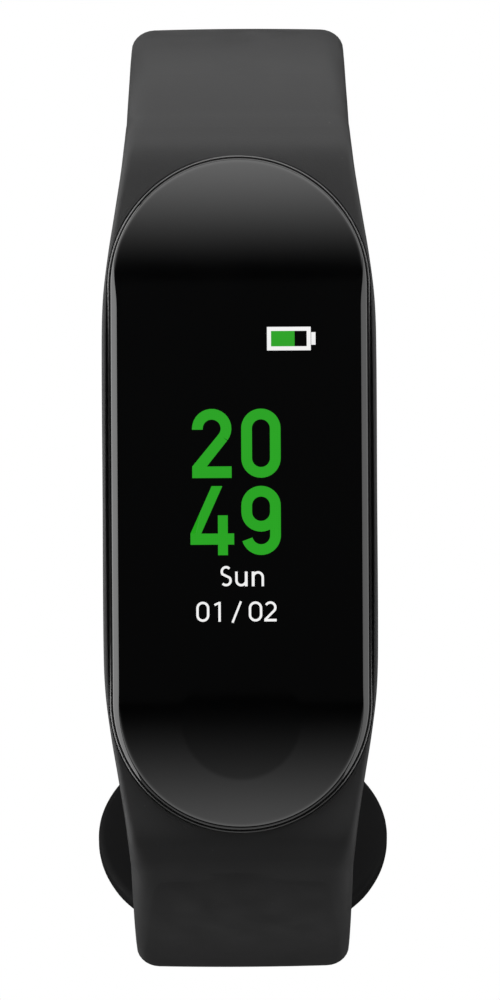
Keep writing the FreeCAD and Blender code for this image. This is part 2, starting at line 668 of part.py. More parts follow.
# Cradle: a silicone ring round the capsule that runs out into the two strap roots.
def cradle_plan():
    """The cradle seen from the front: straight sides that neck down to the width of the straps."""
    body, sketch = new_body("cradle_plan", "XZ_Plane")
    half = size("cradle_width") / 2
    straight = size("cradle_straight")
    waist_z = size("cradle_waist_z")
    waist = size("cradle_waist_half")
    root_z = size("cradle_root_z")
    root = size("short_width") / 2
    drop = waist_z - straight
    bulge = (drop ** 2 + (half - waist) ** 2) / (2 * (half - waist))
    slope = math.asin(drop / bulge)
    hollow = (waist - root) / (1 - math.cos(slope))
    bulge_mid = FreeCAD.Vector(
        half - bulge * (1 - math.cos(slope / 2)), straight + bulge * math.sin(slope / 2), 0,
    )
    hollow_mid = FreeCAD.Vector(
        root + hollow * (1 - math.cos(slope / 2)),
        waist_z + hollow * (math.sin(slope) - math.sin(slope / 2)), 0,
    )
    hollow_end = FreeCAD.Vector(root, waist_z + hollow * math.sin(slope), 0)
    right = [
        (FreeCAD.Vector(half, straight, 0), bulge_mid, FreeCAD.Vector(waist, waist_z, 0)),
        (FreeCAD.Vector(waist, waist_z, 0), hollow_mid, hollow_end),
    ]
    top = FreeCAD.Vector(root, root_z + half, 0)
    for side_x in (1, -1):
        for side_z in (1, -1):
            for first, centre, last in right:
                sketch.addGeometry(Part.Arc(*[
                    FreeCAD.Vector(side_x * point.x, side_z * point.y, 0)
                    for point in (first, centre, last)
                ]), False)
            sketch.addGeometry(Part.LineSegment(
                FreeCAD.Vector(side_x * hollow_end.x, side_z * hollow_end.y, 0),
                FreeCAD.Vector(side_x * top.x, side_z * top.y, 0),
            ), False)
        sketch.addGeometry(Part.LineSegment(
            FreeCAD.Vector(side_x * half, -straight, 0), FreeCAD.Vector(side_x * half, straight, 0),
        ), False)
    for side_z in (1, -1):
        sketch.addGeometry(Part.LineSegment(
            FreeCAD.Vector(-top.x, side_z * top.y, 0), FreeCAD.Vector(top.x, side_z * top.y, 0),
        ), False)
    pad = body.newObject("PartDesign::Pad", "cradle_plan_pad")
    pad.Profile = sketch
    bind(pad, Length="dims.lens_front")
    doc.recompute()
    return body


def cradle_side():
    """The cradle seen along the arm: flat on the wrist, bowed in front, a round seat at each end."""
    body, sketch = new_body("cradle_side", "YZ_Plane")
    half = size("strap_thick") / 2
    gap_radius = half + size("joint_gap")
    back = math.sqrt(gap_radius ** 2 - half ** 2)
    root = (size("root_y"), size("root_z"), size("root_heading"))
    trimmed = along(root, -back)
    front_end = FreeCAD.Vector(-size("cradle_front_end"), size("cradle_front_end_z"), 0)
    upper = [
        (front_end, offset(trimmed, half)),
        (offset(trimmed, half), offset(along(root, -gap_radius), 0), offset(trimmed, -half)),
        (offset(trimmed, -half), FreeCAD.Vector(-size("cradle_heel_y"), size("cradle_heel_z"), 0)),
        (
            FreeCAD.Vector(-size("cradle_heel_y"), size("cradle_heel_z"), 0),
            FreeCAD.Vector(-size("cradle_toe_y"), size("cradle_toe_z"), 0),
        ),
        (
            FreeCAD.Vector(-size("cradle_toe_y"), size("cradle_toe_z"), 0),
            FreeCAD.Vector(-size("cradle_back"), size("cradle_rear_z"), 0),
        ),
    ]
    for side in (1, -1):
        for points in upper:
            placed = [FreeCAD.Vector(point.x, side * point.y, 0) for point in points]
            curve = Part.LineSegment(*placed) if len(placed) == 2 else Part.Arc(*placed)
            sketch.addGeometry(curve, False)
    sketch.addGeometry(Part.LineSegment(
        FreeCAD.Vector(-size("cradle_back"), size("cradle_rear_z"), 0),
        FreeCAD.Vector(-size("cradle_back"), -size("cradle_rear_z"), 0),
    ), False)
    sketch.addGeometry(Part.Arc(
        front_end, FreeCAD.Vector(-size("cradle_front"), 0, 0),
        FreeCAD.Vector(front_end.x, -front_end.y, 0),
    ), False)
    pad = body.newObject("PartDesign::Pad", "cradle_side_pad")
    pad.Profile = sketch
    pad.Midplane = True
    bind(pad, Length="dims.cradle_width * 2")
    doc.recompute()
    return body


cradle_solid = combine("MultiCommon", "cradle_solid", [cradle_plan(), cradle_side()])
pocket_lens = stadium_body(
    "pocket_lens", "dims.pocket_step", "dims.lens_front - dims.pocket_step + dims.cut_extra",
    ("dims.trim_width + 2 * dims.pocket_play", "dims.trim_length + 2 * dims.pocket_play"),
)
pocket_case = stadium_body(
    "pocket_case", "dims.ledge_back", "dims.lens_front - dims.ledge_back",
    ("dims.case_width + 2 * dims.pocket_play", "dims.case_length + 2 * dims.pocket_play"),
)
round_edges(pocket_case, "dims.ledge_back", "dims.case_edge_radius")
pocket_window = stadium_body(
    "pocket_window", "dims.cover_back - dims.cut_extra", "dims.lens_front - dims.cover_back",
    (
        "dims.cover_width + 2 * dims.window_ledge_play",
        "dims.cover_length + 2 * dims.window_ledge_play",
    ),
)
nodes.append(combine("Cut", "cradle", [cradle_solid, pocket_lens, pocket_case, pocket_window]))

# Long strap: links 1 to 8 run over the top and down the back into the paddle's slot; the tip
# comes out on its outer side and buttons over the stud.
long_path = walk("long", LONG_LINKS, -1)
distance = 0.0
total = sum(length for pieces in LONG_LINKS for length, _ in pieces)
stud_hole = total - LONG_LINKS[-1][-1][0]


def station_at(stations, pieces, reach):
    """The station this far along a link."""
    for (first, last), (length, turn) in zip(zip(stations[:-1], stations[1:]), pieces):
        if reach <= length:
            if abs(first[2] - last[2]) < TINY:
                return along(first, reach)
            heading = first[2] + (last[2] - first[2]) * reach / length
            radius = length / math.radians(last[2] - first[2])
            start = math.radians(first[2])
            end = math.radians(heading)
            return (
                first[0] + radius * (math.sin(end) - math.sin(start)),
                first[1] - radius * (math.cos(end) - math.cos(start)),
                heading,
            )
        reach -= length
    return stations[-1]


for number, (stations, pieces) in enumerate(zip(long_path, LONG_LINKS), 1):
    last_link = number == len(LONG_LINKS)
    name = "strap_long_tip" if last_link else f"strap_long_{number}"
    span = sum(length for length, _ in pieces)
    thick = "dims.tail_thick" if number > LAST_THICK_LINK else "dims.strap_thick"
    reaches = [
        stud_hole - count * size("hole_pitch") - distance
        for count in range(HOLE_COUNT)
    ]
    reaches = [reach for reach in reaches if 0 < reach < span]
    blank_name = name + "_blank" if last_link or reaches else name
    body = link_body(blank_name, stations, thick, "dims.long_width", not last_link)
    if last_link:
        tip_box = doc.addObject("Part::Box", "tip_box")
        bind(tip_box, Length="dims.long_width", Width="dims.slot_wide", Height="dims.slot_wide")
        tip_station = stations[-1]
        shift = FreeCAD.Placement(
            FreeCAD.Vector(-size("long_width") / 2, -size("slot_wide") / 2, -size("slot_wide")),
            FreeCAD.Rotation(),
        )
        tip_box.Placement = strap_placement(tip_station).multiply(shift)
        doc.recompute()
        tip_round = doc.addObject("Part::Fillet", "tip_round")
        tip_round.Base = tip_box
        forward = FreeCAD.Vector(
            0, math.cos(math.radians(tip_station[2])), math.sin(math.radians(tip_station[2])),
        )
        reach_far = FreeCAD.Vector(0, tip_station[0], tip_station[1]).dot(forward)
        tip_round.Edges = [
            (index, size("tip_corner"), size("tip_corner"))
            for index, edge in enumerate(tip_box.Shape.Edges, 1)
            if all(abs(vertex.Point.dot(forward) - reach_far) < TINY for vertex in edge.Vertexes)
            and abs(edge.Vertexes[0].Point.x - edge.Vertexes[1].Point.x) < TINY
        ]
        body = combine("MultiCommon", "tip_shaped", [body, tip_round])
    if reaches:
        cutters = [
            pill_tool(f"{name}_hole_{order}", station_at(stations, pieces, reach))
            for order, reach in enumerate(reaches, 1)
        ]
        body = combine("Cut", name, [body] + cutters)
    nodes.append(body)
    distance += span

# Short strap: three plain links, a flared link and the round paddle with the slot and the stud.
short_path = walk("short", SHORT_LINKS, 1)
plate_start = short_path[-1][1]
paddle_centre = along(plate_start, size("paddle_centre"))


def paddle_plan(label):
    """The outline of the flare and paddle: a disc on the end of the strap, cut square to it."""
    round_part = doc.addObject("Part::Cylinder", label + "_disc")
    bind(round_part, Radius="dims.paddle_radius", Height="dims.paddle_radius * 4")
    lift = FreeCAD.Placement(
        FreeCAD.Vector(0, -2 * size("paddle_radius"), 0), FreeCAD.Rotation(X_AXIS, -90),
    )
    round_part.Placement = strap_placement(paddle_centre).multiply(lift)
    straight_part = doc.addObject("Part::Box", label + "_strap")
    bind(
        straight_part, Length="dims.short_width", Width="dims.paddle_radius * 4",
        Height="dims.paddle_radius * 3",
    )
    shift = FreeCAD.Placement(
        FreeCAD.Vector(-size("short_width") / 2, -2 * size("paddle_radius"), -3 * size("paddle_radius")),
        FreeCAD.Rotation(),
    )
    straight_part.Placement = strap_placement(paddle_centre).multiply(shift)
    return combine("MultiFuse", label, [round_part, straight_part])


for number, stations in enumerate(short_path, 1):
    last_link = number == len(SHORT_LINKS)
    flared = number == len(SHORT_LINKS) - 1
    width = "dims.paddle_blank_width" if last_link or flared else "dims.short_width"
    name = "strap_paddle" if last_link else f"strap_short_{number}"
    blank_name = name + "_blank" if last_link or flared else name
    body = link_body(blank_name, stations, "dims.strap_thick", width, not last_link)
    if flared:
        body = combine("MultiCommon", name, [body, paddle_plan(name + "_plan")])
    if last_link:
        outline = combine("MultiCommon", name + "_outline", [body, paddle_plan(name + "_plan")])
        slot = doc.addObject("Part::Box", "paddle_slot")
        bind(slot, Length="dims.slot_wide", Width="dims.slot_wide", Height="dims.slot_tall")
        slot_shift = FreeCAD.Placement(
            FreeCAD.Vector(-size("slot_wide") / 2, -size("slot_wide") / 2, -size("slot_tall") / 2),
            FreeCAD.Rotation(),
        )
        slot_station = along(plate_start, size("slot_centre"))
        slot.Placement = strap_placement(slot_station).multiply(slot_shift)
        stud_bore = pin_tool(
            "stud_bore", plate_start, "dims.stud_neck_radius + dims.stud_play",
            "-dims.strap_thick", "dims.strap_thick * 2",
        )
        stud_seat = pin_tool(
            "stud_seat", plate_start, "dims.stud_flange_radius + dims.stud_play",
            "-dims.strap_thick", "dims.strap_thick / 2 + dims.stud_flange_thick + dims.stud_play",
        )
        body = combine("Cut", name, [outline, slot, stud_bore, stud_seat])
    nodes.append(body)

# Clasp stud: a flange bedded in the inner face, a neck through strap and tail, a mushroom head.
stud_flange = pin_tool(
    "stud_flange", plate_start, "dims.stud_flange_radius",
    "-dims.strap_thick / 2", "dims.stud_flange_thick",
)
stud_neck_height = "dims.strap_thick + dims.tail_thick + 2 * dims.tail_gap + dims.stud_head_thick / 2"
stud_neck = pin_tool(
    "stud_neck", plate_start, "dims.stud_neck_radius", "-dims.strap_thick / 2", stud_neck_height,
)
stud_head = pin_tool(
    "stud_head", plate_start, "dims.stud_head_radius",
    "dims.strap_thick / 2 + dims.tail_thick + 2 * dims.tail_gap", "dims.stud_head_thick",
)
doc.recompute()
stud_head_round = doc.addObject("Part::Fillet", "stud_head_round")
stud_head_round.Base = stud_head
stud_head_round.Edges = [
    (index, size("stud_head_edge"), size("stud_head_edge"))
    for index, edge in enumerate(stud_head.Shape.Edges, 1)
    if len(edge.Vertexes) == 1
]
nodes.append(combine("MultiFuse", "clasp_stud", [stud_flange, stud_neck, stud_head_round]))

doc.recompute()

failed = [obj.Name for obj in doc.Objects if "Invalid" in obj.State or "Error" in obj.State]
if failed:
    raise RuntimeError("failed objects: " + ", ".join(failed))
for node in nodes:
    if node.Shape.isNull() or not node.Shape.isValid():
        raise RuntimeError("bad shape: " + node.Label)

os.makedirs("parts", exist_ok=True)
for node in nodes:
    node.Shape.exportStep(os.path.join("parts", node.Label + ".step"))
    print(f"{node.Label:24s} solids {len(node.Shape.Solids)} volume {node.Shape.Volume:9.2f}")
for name, path in (("long", long_path), ("short", short_path)):
    for number, stations in enumerate(path, 1):
        print(name, number, " ".join(f"({y:.3f} {z:.3f} {heading:.1f})" for y, z, heading in stations))
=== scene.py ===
import json
import math
import bmesh
import bpy
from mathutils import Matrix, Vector


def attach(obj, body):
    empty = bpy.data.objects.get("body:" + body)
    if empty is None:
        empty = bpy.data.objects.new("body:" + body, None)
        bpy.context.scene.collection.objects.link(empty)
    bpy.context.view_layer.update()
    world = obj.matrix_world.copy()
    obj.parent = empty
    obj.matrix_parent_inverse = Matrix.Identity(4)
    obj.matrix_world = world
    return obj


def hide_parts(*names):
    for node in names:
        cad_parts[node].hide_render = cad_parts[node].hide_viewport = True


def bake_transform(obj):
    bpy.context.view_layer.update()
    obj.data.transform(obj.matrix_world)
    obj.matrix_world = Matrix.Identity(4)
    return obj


# Fitness tracker band, seen square on: a glass-fronted capsule in a silicone band with a stud clasp.
# Lengths are written in millimetres and turned into metres when a mesh is made.  Depths are
# distances forward of the origin, so a depth of 30 lies at y = -30.

MM = 0.001

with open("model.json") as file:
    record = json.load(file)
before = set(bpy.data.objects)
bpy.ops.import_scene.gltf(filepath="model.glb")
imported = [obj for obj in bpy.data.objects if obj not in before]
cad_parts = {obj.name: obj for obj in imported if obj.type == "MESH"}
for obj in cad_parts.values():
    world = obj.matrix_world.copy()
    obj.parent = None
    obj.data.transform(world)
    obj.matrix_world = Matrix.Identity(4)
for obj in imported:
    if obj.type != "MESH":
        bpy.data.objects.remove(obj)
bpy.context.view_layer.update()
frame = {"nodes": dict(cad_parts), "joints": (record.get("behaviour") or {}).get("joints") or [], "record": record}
record = frame["record"]
JOINT_AT = {joint["name"]: joint.get("pos_m") for joint in frame["joints"]}
NODE_SLOT = {part["node"]: part["material_slot"] for part in record["subparts"]}
SLOT_FACTS = {entry["slot"]: entry for entry in record["materials"]}


# ---------------------------------------------------------------- camera
# A long lens about 480 mm in front of the glass, a touch off the middle and hardly tilted.
GLASS_PLANE = -34.0
CAMERA_DISTANCE = 480.0
VIEW_HEIGHT = 69.16
CAMERA_X = 0.70
CAMERA_Z = -0.415
CAMERA_ROLL = 0.35
SENSOR = 36.0

camera_data = bpy.data.cameras.new("camera")
camera_data.sensor_width = SENSOR
camera_data.lens = SENSOR * CAMERA_DISTANCE / VIEW_HEIGHT
camera_data.clip_start = 0.02
camera_data.clip_end = 20.0
camera = bpy.data.objects.new("camera", camera_data)
bpy.context.scene.collection.objects.link(camera)
camera.location = Vector((CAMERA_X, GLASS_PLANE - CAMERA_DISTANCE, CAMERA_Z)) * MM
camera.rotation_euler = (math.radians(90), math.radians(CAMERA_ROLL), 0)
bpy.context.scene.camera = camera
bpy.context.scene.view_settings.view_transform = "Standard"


# ---------------------------------------------------------------- materials
def new_material(name):
    """A material with a Principled shader: (material, node tree, shader)."""
    material = bpy.data.materials.new(name)
    material.use_nodes = True
    tree = material.node_tree
    return material, tree, tree.nodes["Principled BSDF"]


def noise(tree, scale, detail=4.0, roughness=0.55):
    """A noise texture over the object's own coordinates; scale is in features per metre."""
    place = tree.nodes.new("ShaderNodeTexCoord")
    texture = tree.nodes.new("ShaderNodeTexNoise")
    texture.inputs["Scale"].default_value = scale
    texture.inputs["Detail"].default_value = detail
    texture.inputs["Roughness"].default_value = roughness
    tree.links.new(place.outputs["Object"], texture.inputs["Vector"])
    return texture


def spread(tree, source, low, high):
    """The source's 0.3 to 0.7 mapped onto low to high."""
    ramp = tree.nodes.new("ShaderNodeMapRange")
    ramp.inputs["From Min"].default_value = 0.3
    ramp.inputs["From Max"].default_value = 0.7
    ramp.inputs["To Min"].default_value = low
    ramp.inputs["To Max"].default_value = high
    tree.links.new(source, ramp.inputs["Value"])
    return ramp.outputs["Result"]


def mottle(tree, source, colour, change):
    """A colour that drifts by this share of itself with the source."""
    ramp = tree.nodes.new("ShaderNodeValToRGB")
    ramp.color_ramp.elements[0].position = 0.3
    ramp.color_ramp.elements[1].position = 0.7
    ramp.color_ramp.elements[0].color = [channel * (1 - change) for channel in colour] + [1.0]
    ramp.color_ramp.elements[1].color = [min(channel * (1 + change), 1.0) for channel in colour] + [1.0]
    tree.links.new(source, ramp.inputs["Fac"])
    return ramp.outputs["Color"]


def add_bump(tree, shader, height, depth, socket="Normal"):
    """Relief from a height source; depth is in metres."""
    bump = tree.nodes.new("ShaderNodeBump")
    bump.inputs["Strength"].default_value = 1.0
    bump.inputs["Distance"].default_value = depth
    tree.links.new(height, bump.inputs["Height"])
    tree.links.new(bump.outputs["Normal"], shader.inputs[socket])


# For each record class: roughness low and high, metallic, grain per metre, grain depth in metres,
# share of colour drift, features per metre of the slow wear.
CLASS_LOOKS = {
    "rubber": (0.50, 0.62, 0.0, 5200.0, 3.0e-6, 0.06, 160.0),
    "matte_plastic": (0.42, 0.55, 0.0, 6500.0, 2.0e-6, 0.06, 220.0),
    "gloss_plastic": (0.06, 0.14, 0.0, 900.0, 0.4e-6, 0.04, 260.0),
    "brushed_steel": (0.22, 0.36, 1.0, 3800.0, 1.2e-6, 0.05, 400.0),
    "aluminium": (0.28, 0.42, 1.0, 3000.0, 2.0e-6, 0.05, 300.0),
    "brass": (0.16, 0.28, 1.0, 3000.0, 0.8e-6, 0.06, 400.0),
    "cast_iron": (0.50, 0.68, 1.0, 4200.0, 3.0e-6, 0.10, 400.0),
    "ceramic": (0.35, 0.48, 0.0, 5200.0, 1.5e-6, 0.05, 300.0),
}


def slot_material(slot):
    """The finish of one of the record's material slots: grain, relief, slow wear and colour drift."""
    facts = SLOT_FACTS[slot]
    low, high, metallic, grain_scale, grain_depth, change, wear_scale = CLASS_LOOKS[facts["class"]]
    material, tree, shader = new_material(slot)
    grain = noise(tree, grain_scale)
    wear = noise(tree, wear_scale, detail=3.0)
    shader.inputs["Metallic"].default_value = metallic
    colour = mottle(tree, wear.outputs["Fac"], facts["base_color"], change)
    tree.links.new(colour, shader.inputs["Base Color"])
    tree.links.new(spread(tree, wear.outputs["Fac"], low, high), shader.inputs["Roughness"])
    add_bump(tree, shader, grain.outputs["Fac"], grain_depth)
    return material


def silicone_material(name, colour, gloss):
    """Matte black silicone: eggshell grain from the mould, faint dust and paler rubbed patches."""
    material, tree, shader = new_material(name)
    grain = noise(tree, 7000.0, detail=5.0, roughness=0.6)
    dust = noise(tree, 2600.0, detail=2.0)
    rub = noise(tree, 450.0, detail=4.0)
    base = mottle(tree, rub.outputs["Fac"], colour, 0.09)
    specks = tree.nodes.new("ShaderNodeMapRange")
    specks.inputs["From Min"].default_value = 0.74
    specks.inputs["From Max"].default_value = 0.80
    specks.inputs["To Max"].default_value = 0.35
    tree.links.new(dust.outputs["Fac"], specks.inputs["Value"])
    mix = tree.nodes.new("ShaderNodeMixRGB")
    mix.inputs["Color2"].default_value = (0.12, 0.12, 0.12, 1.0)
    tree.links.new(specks.outputs["Result"], mix.inputs["Fac"])
    tree.links.new(base, mix.inputs["Color1"])
    tree.links.new(mix.outputs["Color"], shader.inputs["Base Color"])
    tree.links.new(spread(tree, rub.outputs["Fac"], 0.50, 0.60), shader.inputs["Roughness"])
    shader.inputs["Specular IOR Level"].default_value = gloss
    add_bump(tree, shader, grain.outputs["Fac"], 8.0e-6)
    return material


def glass_material():
    """Polished glass printed black behind, with faint wiped smears."""
    material, tree, shader = new_material("black_glass")
    smear = noise(tree, 120.0, detail=5.0)
    shader.inputs["IOR"].default_value = 1.5
    tree.links.new(
        mottle(tree, smear.outputs["Fac"], GLASS_COLOUR, 0.08),
        shader.inputs["Base Color"],
    )
    tree.links.new(spread(tree, smear.outputs["Fac"], 0.035, 0.055), shader.inputs["Roughness"])
    ripple = noise(tree, 60.0, detail=1.0)
    add_bump(tree, shader, ripple.outputs["Fac"], 0.3e-6)
    return material


def trim_material():
    """The glossy moulded rim round the glass."""
    material, tree, shader = new_material("trim_gloss")
    wear = noise(tree, 700.0)
    # The base colour carries part of the rim's bright line as painted highlight.
    tree.links.new(
        mottle(tree, wear.outputs["Fac"], TRIM_GREY_WITH_PAINTED_HIGHLIGHT, 0.08),
        shader.inputs["Base Color"],
    )
    tree.links.new(spread(tree, wear.outputs["Fac"], 0.14, 0.24), shader.inputs["Roughness"])
    add_bump(tree, shader, wear.outputs["Fac"], 0.8e-6)
    return material


def lit_material(name, colour, strength):
    """Lit display dots: an even glow, slightly darker between the dots of the panel."""
    material, tree, shader = new_material(name)
    place = tree.nodes.new("ShaderNodeTexCoord")
    dots = tree.nodes.new("ShaderNodeTexVoronoi")
    dots.inputs["Scale"].default_value = PANEL_DOTS_PER_METRE
    dots.inputs["Randomness"].default_value = 0.0
    tree.links.new(place.outputs["Object"], dots.inputs["Vector"])
    glow = tree.nodes.new("ShaderNodeValToRGB")
    glow.color_ramp.elements[0].color = colour + (1.0,)
    glow.color_ramp.elements[1].color = tuple(channel * 0.86 for channel in colour) + (1.0,)
    tree.links.new(dots.outputs["Distance"], glow.inputs["Fac"])
    shader.inputs["Base Color"].default_value = (0.0, 0.0, 0.0, 1.0)
    shader.inputs["Roughness"].default_value = 0.3
    shader.inputs["Specular IOR Level"].default_value = 0.2
    tree.links.new(glow.outputs["Color"], shader.inputs["Emission Color"])
    shader.inputs["Emission Strength"].default_value = strength
    return material


GLASS_COLOUR = (0.0022, 0.0024, 0.0026)
SILICONE_COLOUR = (0.034, 0.034, 0.0345)
# The rim's grey is lighter than its plastic so that its thin bright line shows without more light from below:
# partly the rim's own colour, partly painted highlight.
TRIM_GREY_WITH_PAINTED_HIGHLIGHT = (0.09, 0.09, 0.09)
# The paddle's silicone colour is far darker than the strap's. This is painted shade: the same silicone, darkened
# where it sits in shadow.
PADDLE_PAINTED_SHADE_COLOUR = (0.006, 0.006, 0.0062)
PANEL_DOTS_PER_METRE = 7350.0
GREEN = (0.019, 0.381, 0.013)
WHITE = (0.95, 0.95, 0.95)

MATERIALS = {
    "silicone": silicone_material("silicone", SILICONE_COLOUR, 0.22),
    "black_glass": glass_material(),
    "trim_gloss": trim_material(),
}
# A darker copy of the strap's silicone with its sheen turned down, as painted shade on the paddle.
PADDLE_SILICONE_PAINTED_SHADE = silicone_material("silicone_paddle_painted_shade", PADDLE_PAINTED_SHADE_COLOUR, 0.03)
for slot_name in SLOT_FACTS:
    if slot_name not in MATERIALS:
        MATERIALS[slot_name] = slot_material(slot_name)
GREEN_LIGHT = lit_material("lit_green", GREEN, 1.0)
WHITE_LIGHT = lit_material("lit_white", WHITE, 1.0)

for node, cad_object in frame["nodes"].items():
    cad_object.data.materials.clear()
    cad_object.data.materials.append(MATERIALS[NODE_SLOT[node]])


# ---------------------------------------------------------------- mesh helpers
SHARP_ANGLE = math.radians(38)


def finish_mesh(name, bm, material):
    """An object from a bmesh given in millimetres, with outward normals and smooth shading."""
    bmesh.ops.remove_doubles(bm, verts=bm.verts, dist=1e-4)
    bmesh.ops.recalc_face_normals(bm, faces=bm.faces)
    bmesh.ops.scale(bm, vec=(MM, MM, MM), verts=bm.verts)
    mesh = bpy.data.meshes.new(name)
    bm.to_mesh(mesh)
    bm.free()
    mesh.materials.append(material)
    obj = bpy.data.objects.new(name, mesh)
    bpy.context.scene.collection.objects.link(obj)
    smooth(obj)
    return obj


def smooth(obj):
    """Smooth shading with the sharp edges kept."""
    obj.data.polygons.foreach_set("use_smooth", [True] * len(obj.data.polygons))
    obj.data.set_sharp_from_angle(angle=SHARP_ANGLE)


def add_rings(bm, rings, closed=False, capped=True):
    """Quads between successive rings of equal length; the first and last ring are capped."""
    loops = [[bm.verts.new(point) for point in ring] for ring in rings]
    pairs = list(zip(loops[:-1], loops[1:]))
    if closed:
        pairs.append((loops[-1], loops[0]))
    for first, second in pairs:
        count = len(first)
        for index in range(count):
            after = (index + 1) % count
            bm.faces.new((first[index], first[after], second[after], second[index]))
    if capped and not closed:
        bm.faces.new(loops[0])
        bm.faces.new(loops[-1][::-1])
    return loops


def ring_solid(name, rings, material, closed=False):
    """A closed solid lofted through rings."""
    bm = bmesh.new()
    add_rings(bm, rings, closed)
    return finish_mesh(name, bm, material)


def cut(obj, cutters):
    """Takes the cutters out of obj for good and deletes them."""
    for cutter in cutters:
        step = obj.modifiers.new("cut", "BOOLEAN")
        step.operation = "DIFFERENCE"
        step.solver = "EXACT"
        step.object = cutter
    bpy.context.view_layer.update()
    evaluated = obj.evaluated_get(bpy.context.evaluated_depsgraph_get())
    mesh = bpy.data.meshes.new_from_object(evaluated)
    obj.modifiers.clear()
    old = obj.data
    obj.data = mesh
    bpy.data.meshes.remove(old)
    for cutter in cutters:
        bpy.data.objects.remove(cutter)
    smooth(obj)


# ---------------------------------------------------------------- the band's line and sections
STRAP_THICK = 2.2
TAIL_THICK = 2.0
ROOT_HEADING = 50.0
TIP_PIECES = [(6.033, 45.0), (2.0, 0.0), (4.03, 16.2)]
PADDLE_PIECES = [(3.142, 15.0), (15.85, 0.0)]
SECTION_STEP = 0.4
LONG_LINKS = 9
SHORT_LINKS = 5


def arc_point(station, length, turn, share):
    """The station this share of the way along a piece of strap, turning in all by turn degrees."""
    y, z, heading = station
    start = math.radians(heading)
    if abs(turn) < 1e-6:
        return (y + share * length * math.cos(start), z + share * length * math.sin(start), heading)
    radius = length / math.radians(turn)
    end = start + math.radians(turn) * share
    return (
        y + radius * (math.sin(end) - math.sin(start)),
        z - radius * (math.cos(end) - math.cos(start)),
        math.degrees(end),
    )


def strap_line(strap, count, sign, last_pieces):
    """The line of a strap: one list of (length, turn, first station) pieces for each link.

    Each link is an arc between two hinges, tangent to the link before it.
    """
    at = [JOINT_AT[f"{strap}_strap_bend_{number}"] for number in range(1, count + 1)]
    points = [(pos[1] / MM, pos[2] / MM) for pos in at]
    heading = -sign * ROOT_HEADING
    links = []
    for (y, z), (next_y, next_z) in zip(points[:-1], points[1:]):
        chord = math.hypot(next_y - y, next_z - z)
        direction = math.degrees(math.atan2(next_z - z, next_y - y))
        turn = 2 * ((direction - heading + 180) % 360 - 180)
        half = math.radians(abs(turn)) / 2
        length = chord if half < 1e-4 else chord * half / math.sin(half)
        links.append([(length, turn, (y, z, heading))])
        heading += turn
    station = (*points[-1], heading)
    links.append([])
    for length, turn in last_pieces:
        links[-1].append((length, sign * turn, station))
        station = arc_point(station, length, sign * turn, 1.0)
    return links


def line_station(links, distance):
    """The station this far along a strap."""
    for pieces in links:
        for length, turn, station in pieces:
            if distance <= length:
                return arc_point(station, length, turn, distance / length)
            distance -= length
    length, turn, station = links[-1][-1]
    return arc_point(station, length, turn, 1.0)


def link_starts(links):
    """How far along the strap each link starts, and where the last one ends."""
    starts = [0.0]
    for pieces in links:
        starts.append(starts[-1] + sum(length for length, _, _ in pieces))
    return starts


def ease(value, low, high):
    """0 below low, 1 above high and a smooth step in between."""
    share = min(max((value - low) / (high - low), 0.0), 1.0)
    return share * share * (3 - 2 * share)


def through(table, value):
    """A smooth curve through a short table of (value, result) pairs."""
    if value <= table[0][0]:
        return table[0][1]
    if value >= table[-1][0]:
        return table[-1][1]
    for index in range(len(table) - 1):
        x0, y0 = table[index]
        x1, y1 = table[index + 1]
        if value <= x1:
            break
    before = table[max(index - 1, 0)]
    after = table[min(index + 2, len(table) - 1)]
    slope0 = (y1 - before[1]) / (x1 - before[0])
    slope1 = (after[1] - y0) / (after[0] - x0)
    share = (value - x0) / (x1 - x0)
    width = x1 - x0
    return (
        y0 * (1 + 2 * share) * (1 - share) ** 2 + slope0 * width * share * (1 - share) ** 2
        + y1 * share ** 2 * (3 - 2 * share) - slope1 * width * share ** 2 * (1 - share)
    )


CORNER_STEPS = 7
FACE_STEPS = 30
SIDE_STEPS = 4


def section(front, rear, half_width, front_round, rear_round, inset=0.0, crown=0.0, stretch=1.0):
    """A ring round the band: a rounded rectangle between a point on its outer face and one on its
    inner face, both (y, z), drawn in by inset all round.  The outer face falls away by crown at its
    sides, where its corners are drawn out across the band by stretch."""
    thick = math.hypot(front[0] - rear[0], front[1] - rear[1])
    away = ((front[0] - rear[0]) / thick, (front[1] - rear[1]) / thick)
    half_width = max(half_width - inset, 0.05)
    low = inset
    high = thick - inset
    widest = half_width * 0.98
    rear_round = min(max(rear_round - inset * 0.5, 0.05), widest, (high - low) * 0.49)
    front_round = min(max(front_round - inset * 0.5, 0.05), widest, (high - low) * 0.98 - rear_round)
    outline = []
    front_wide = min(front_round * stretch, widest)
    corners = [
        (half_width - front_wide, high - front_round, front_wide, front_round, 0.0),
        (front_wide - half_width, high - front_round, front_wide, front_round, 90.0),
        (rear_round - half_width, low + rear_round, rear_round, rear_round, 180.0),
        (half_width - rear_round, low + rear_round, rear_round, rear_round, 270.0),
    ]
    between = (FACE_STEPS, SIDE_STEPS, FACE_STEPS, SIDE_STEPS)
    for index, (across, up, wide, tall, start) in enumerate(corners):
        for step in range(CORNER_STEPS + 1):
            angle = math.radians(start + 90.0 * step / CORNER_STEPS)
            outline.append((across + wide * math.cos(angle), up + tall * math.sin(angle)))
        following = corners[(index + 1) % 4]
        angle = math.radians(start + 90.0)
        begin = (across + wide * math.cos(angle), up + tall * math.sin(angle))
        finish = (
            following[0] + following[2] * math.cos(angle), following[1] + following[3] * math.sin(angle),
        )
        for step in range(1, between[index]):
            share = step / between[index]
            outline.append((
                begin[0] + (finish[0] - begin[0]) * share, begin[1] + (finish[1] - begin[1]) * share,
            ))
    ring = []
    for across, up in outline:
        up -= crown * (across / half_width) ** 2 * max(up / high, 0.0)
        ring.append(Vector((across, rear[0] + away[0] * up, rear[1] + away[1] * up)))
    return ring


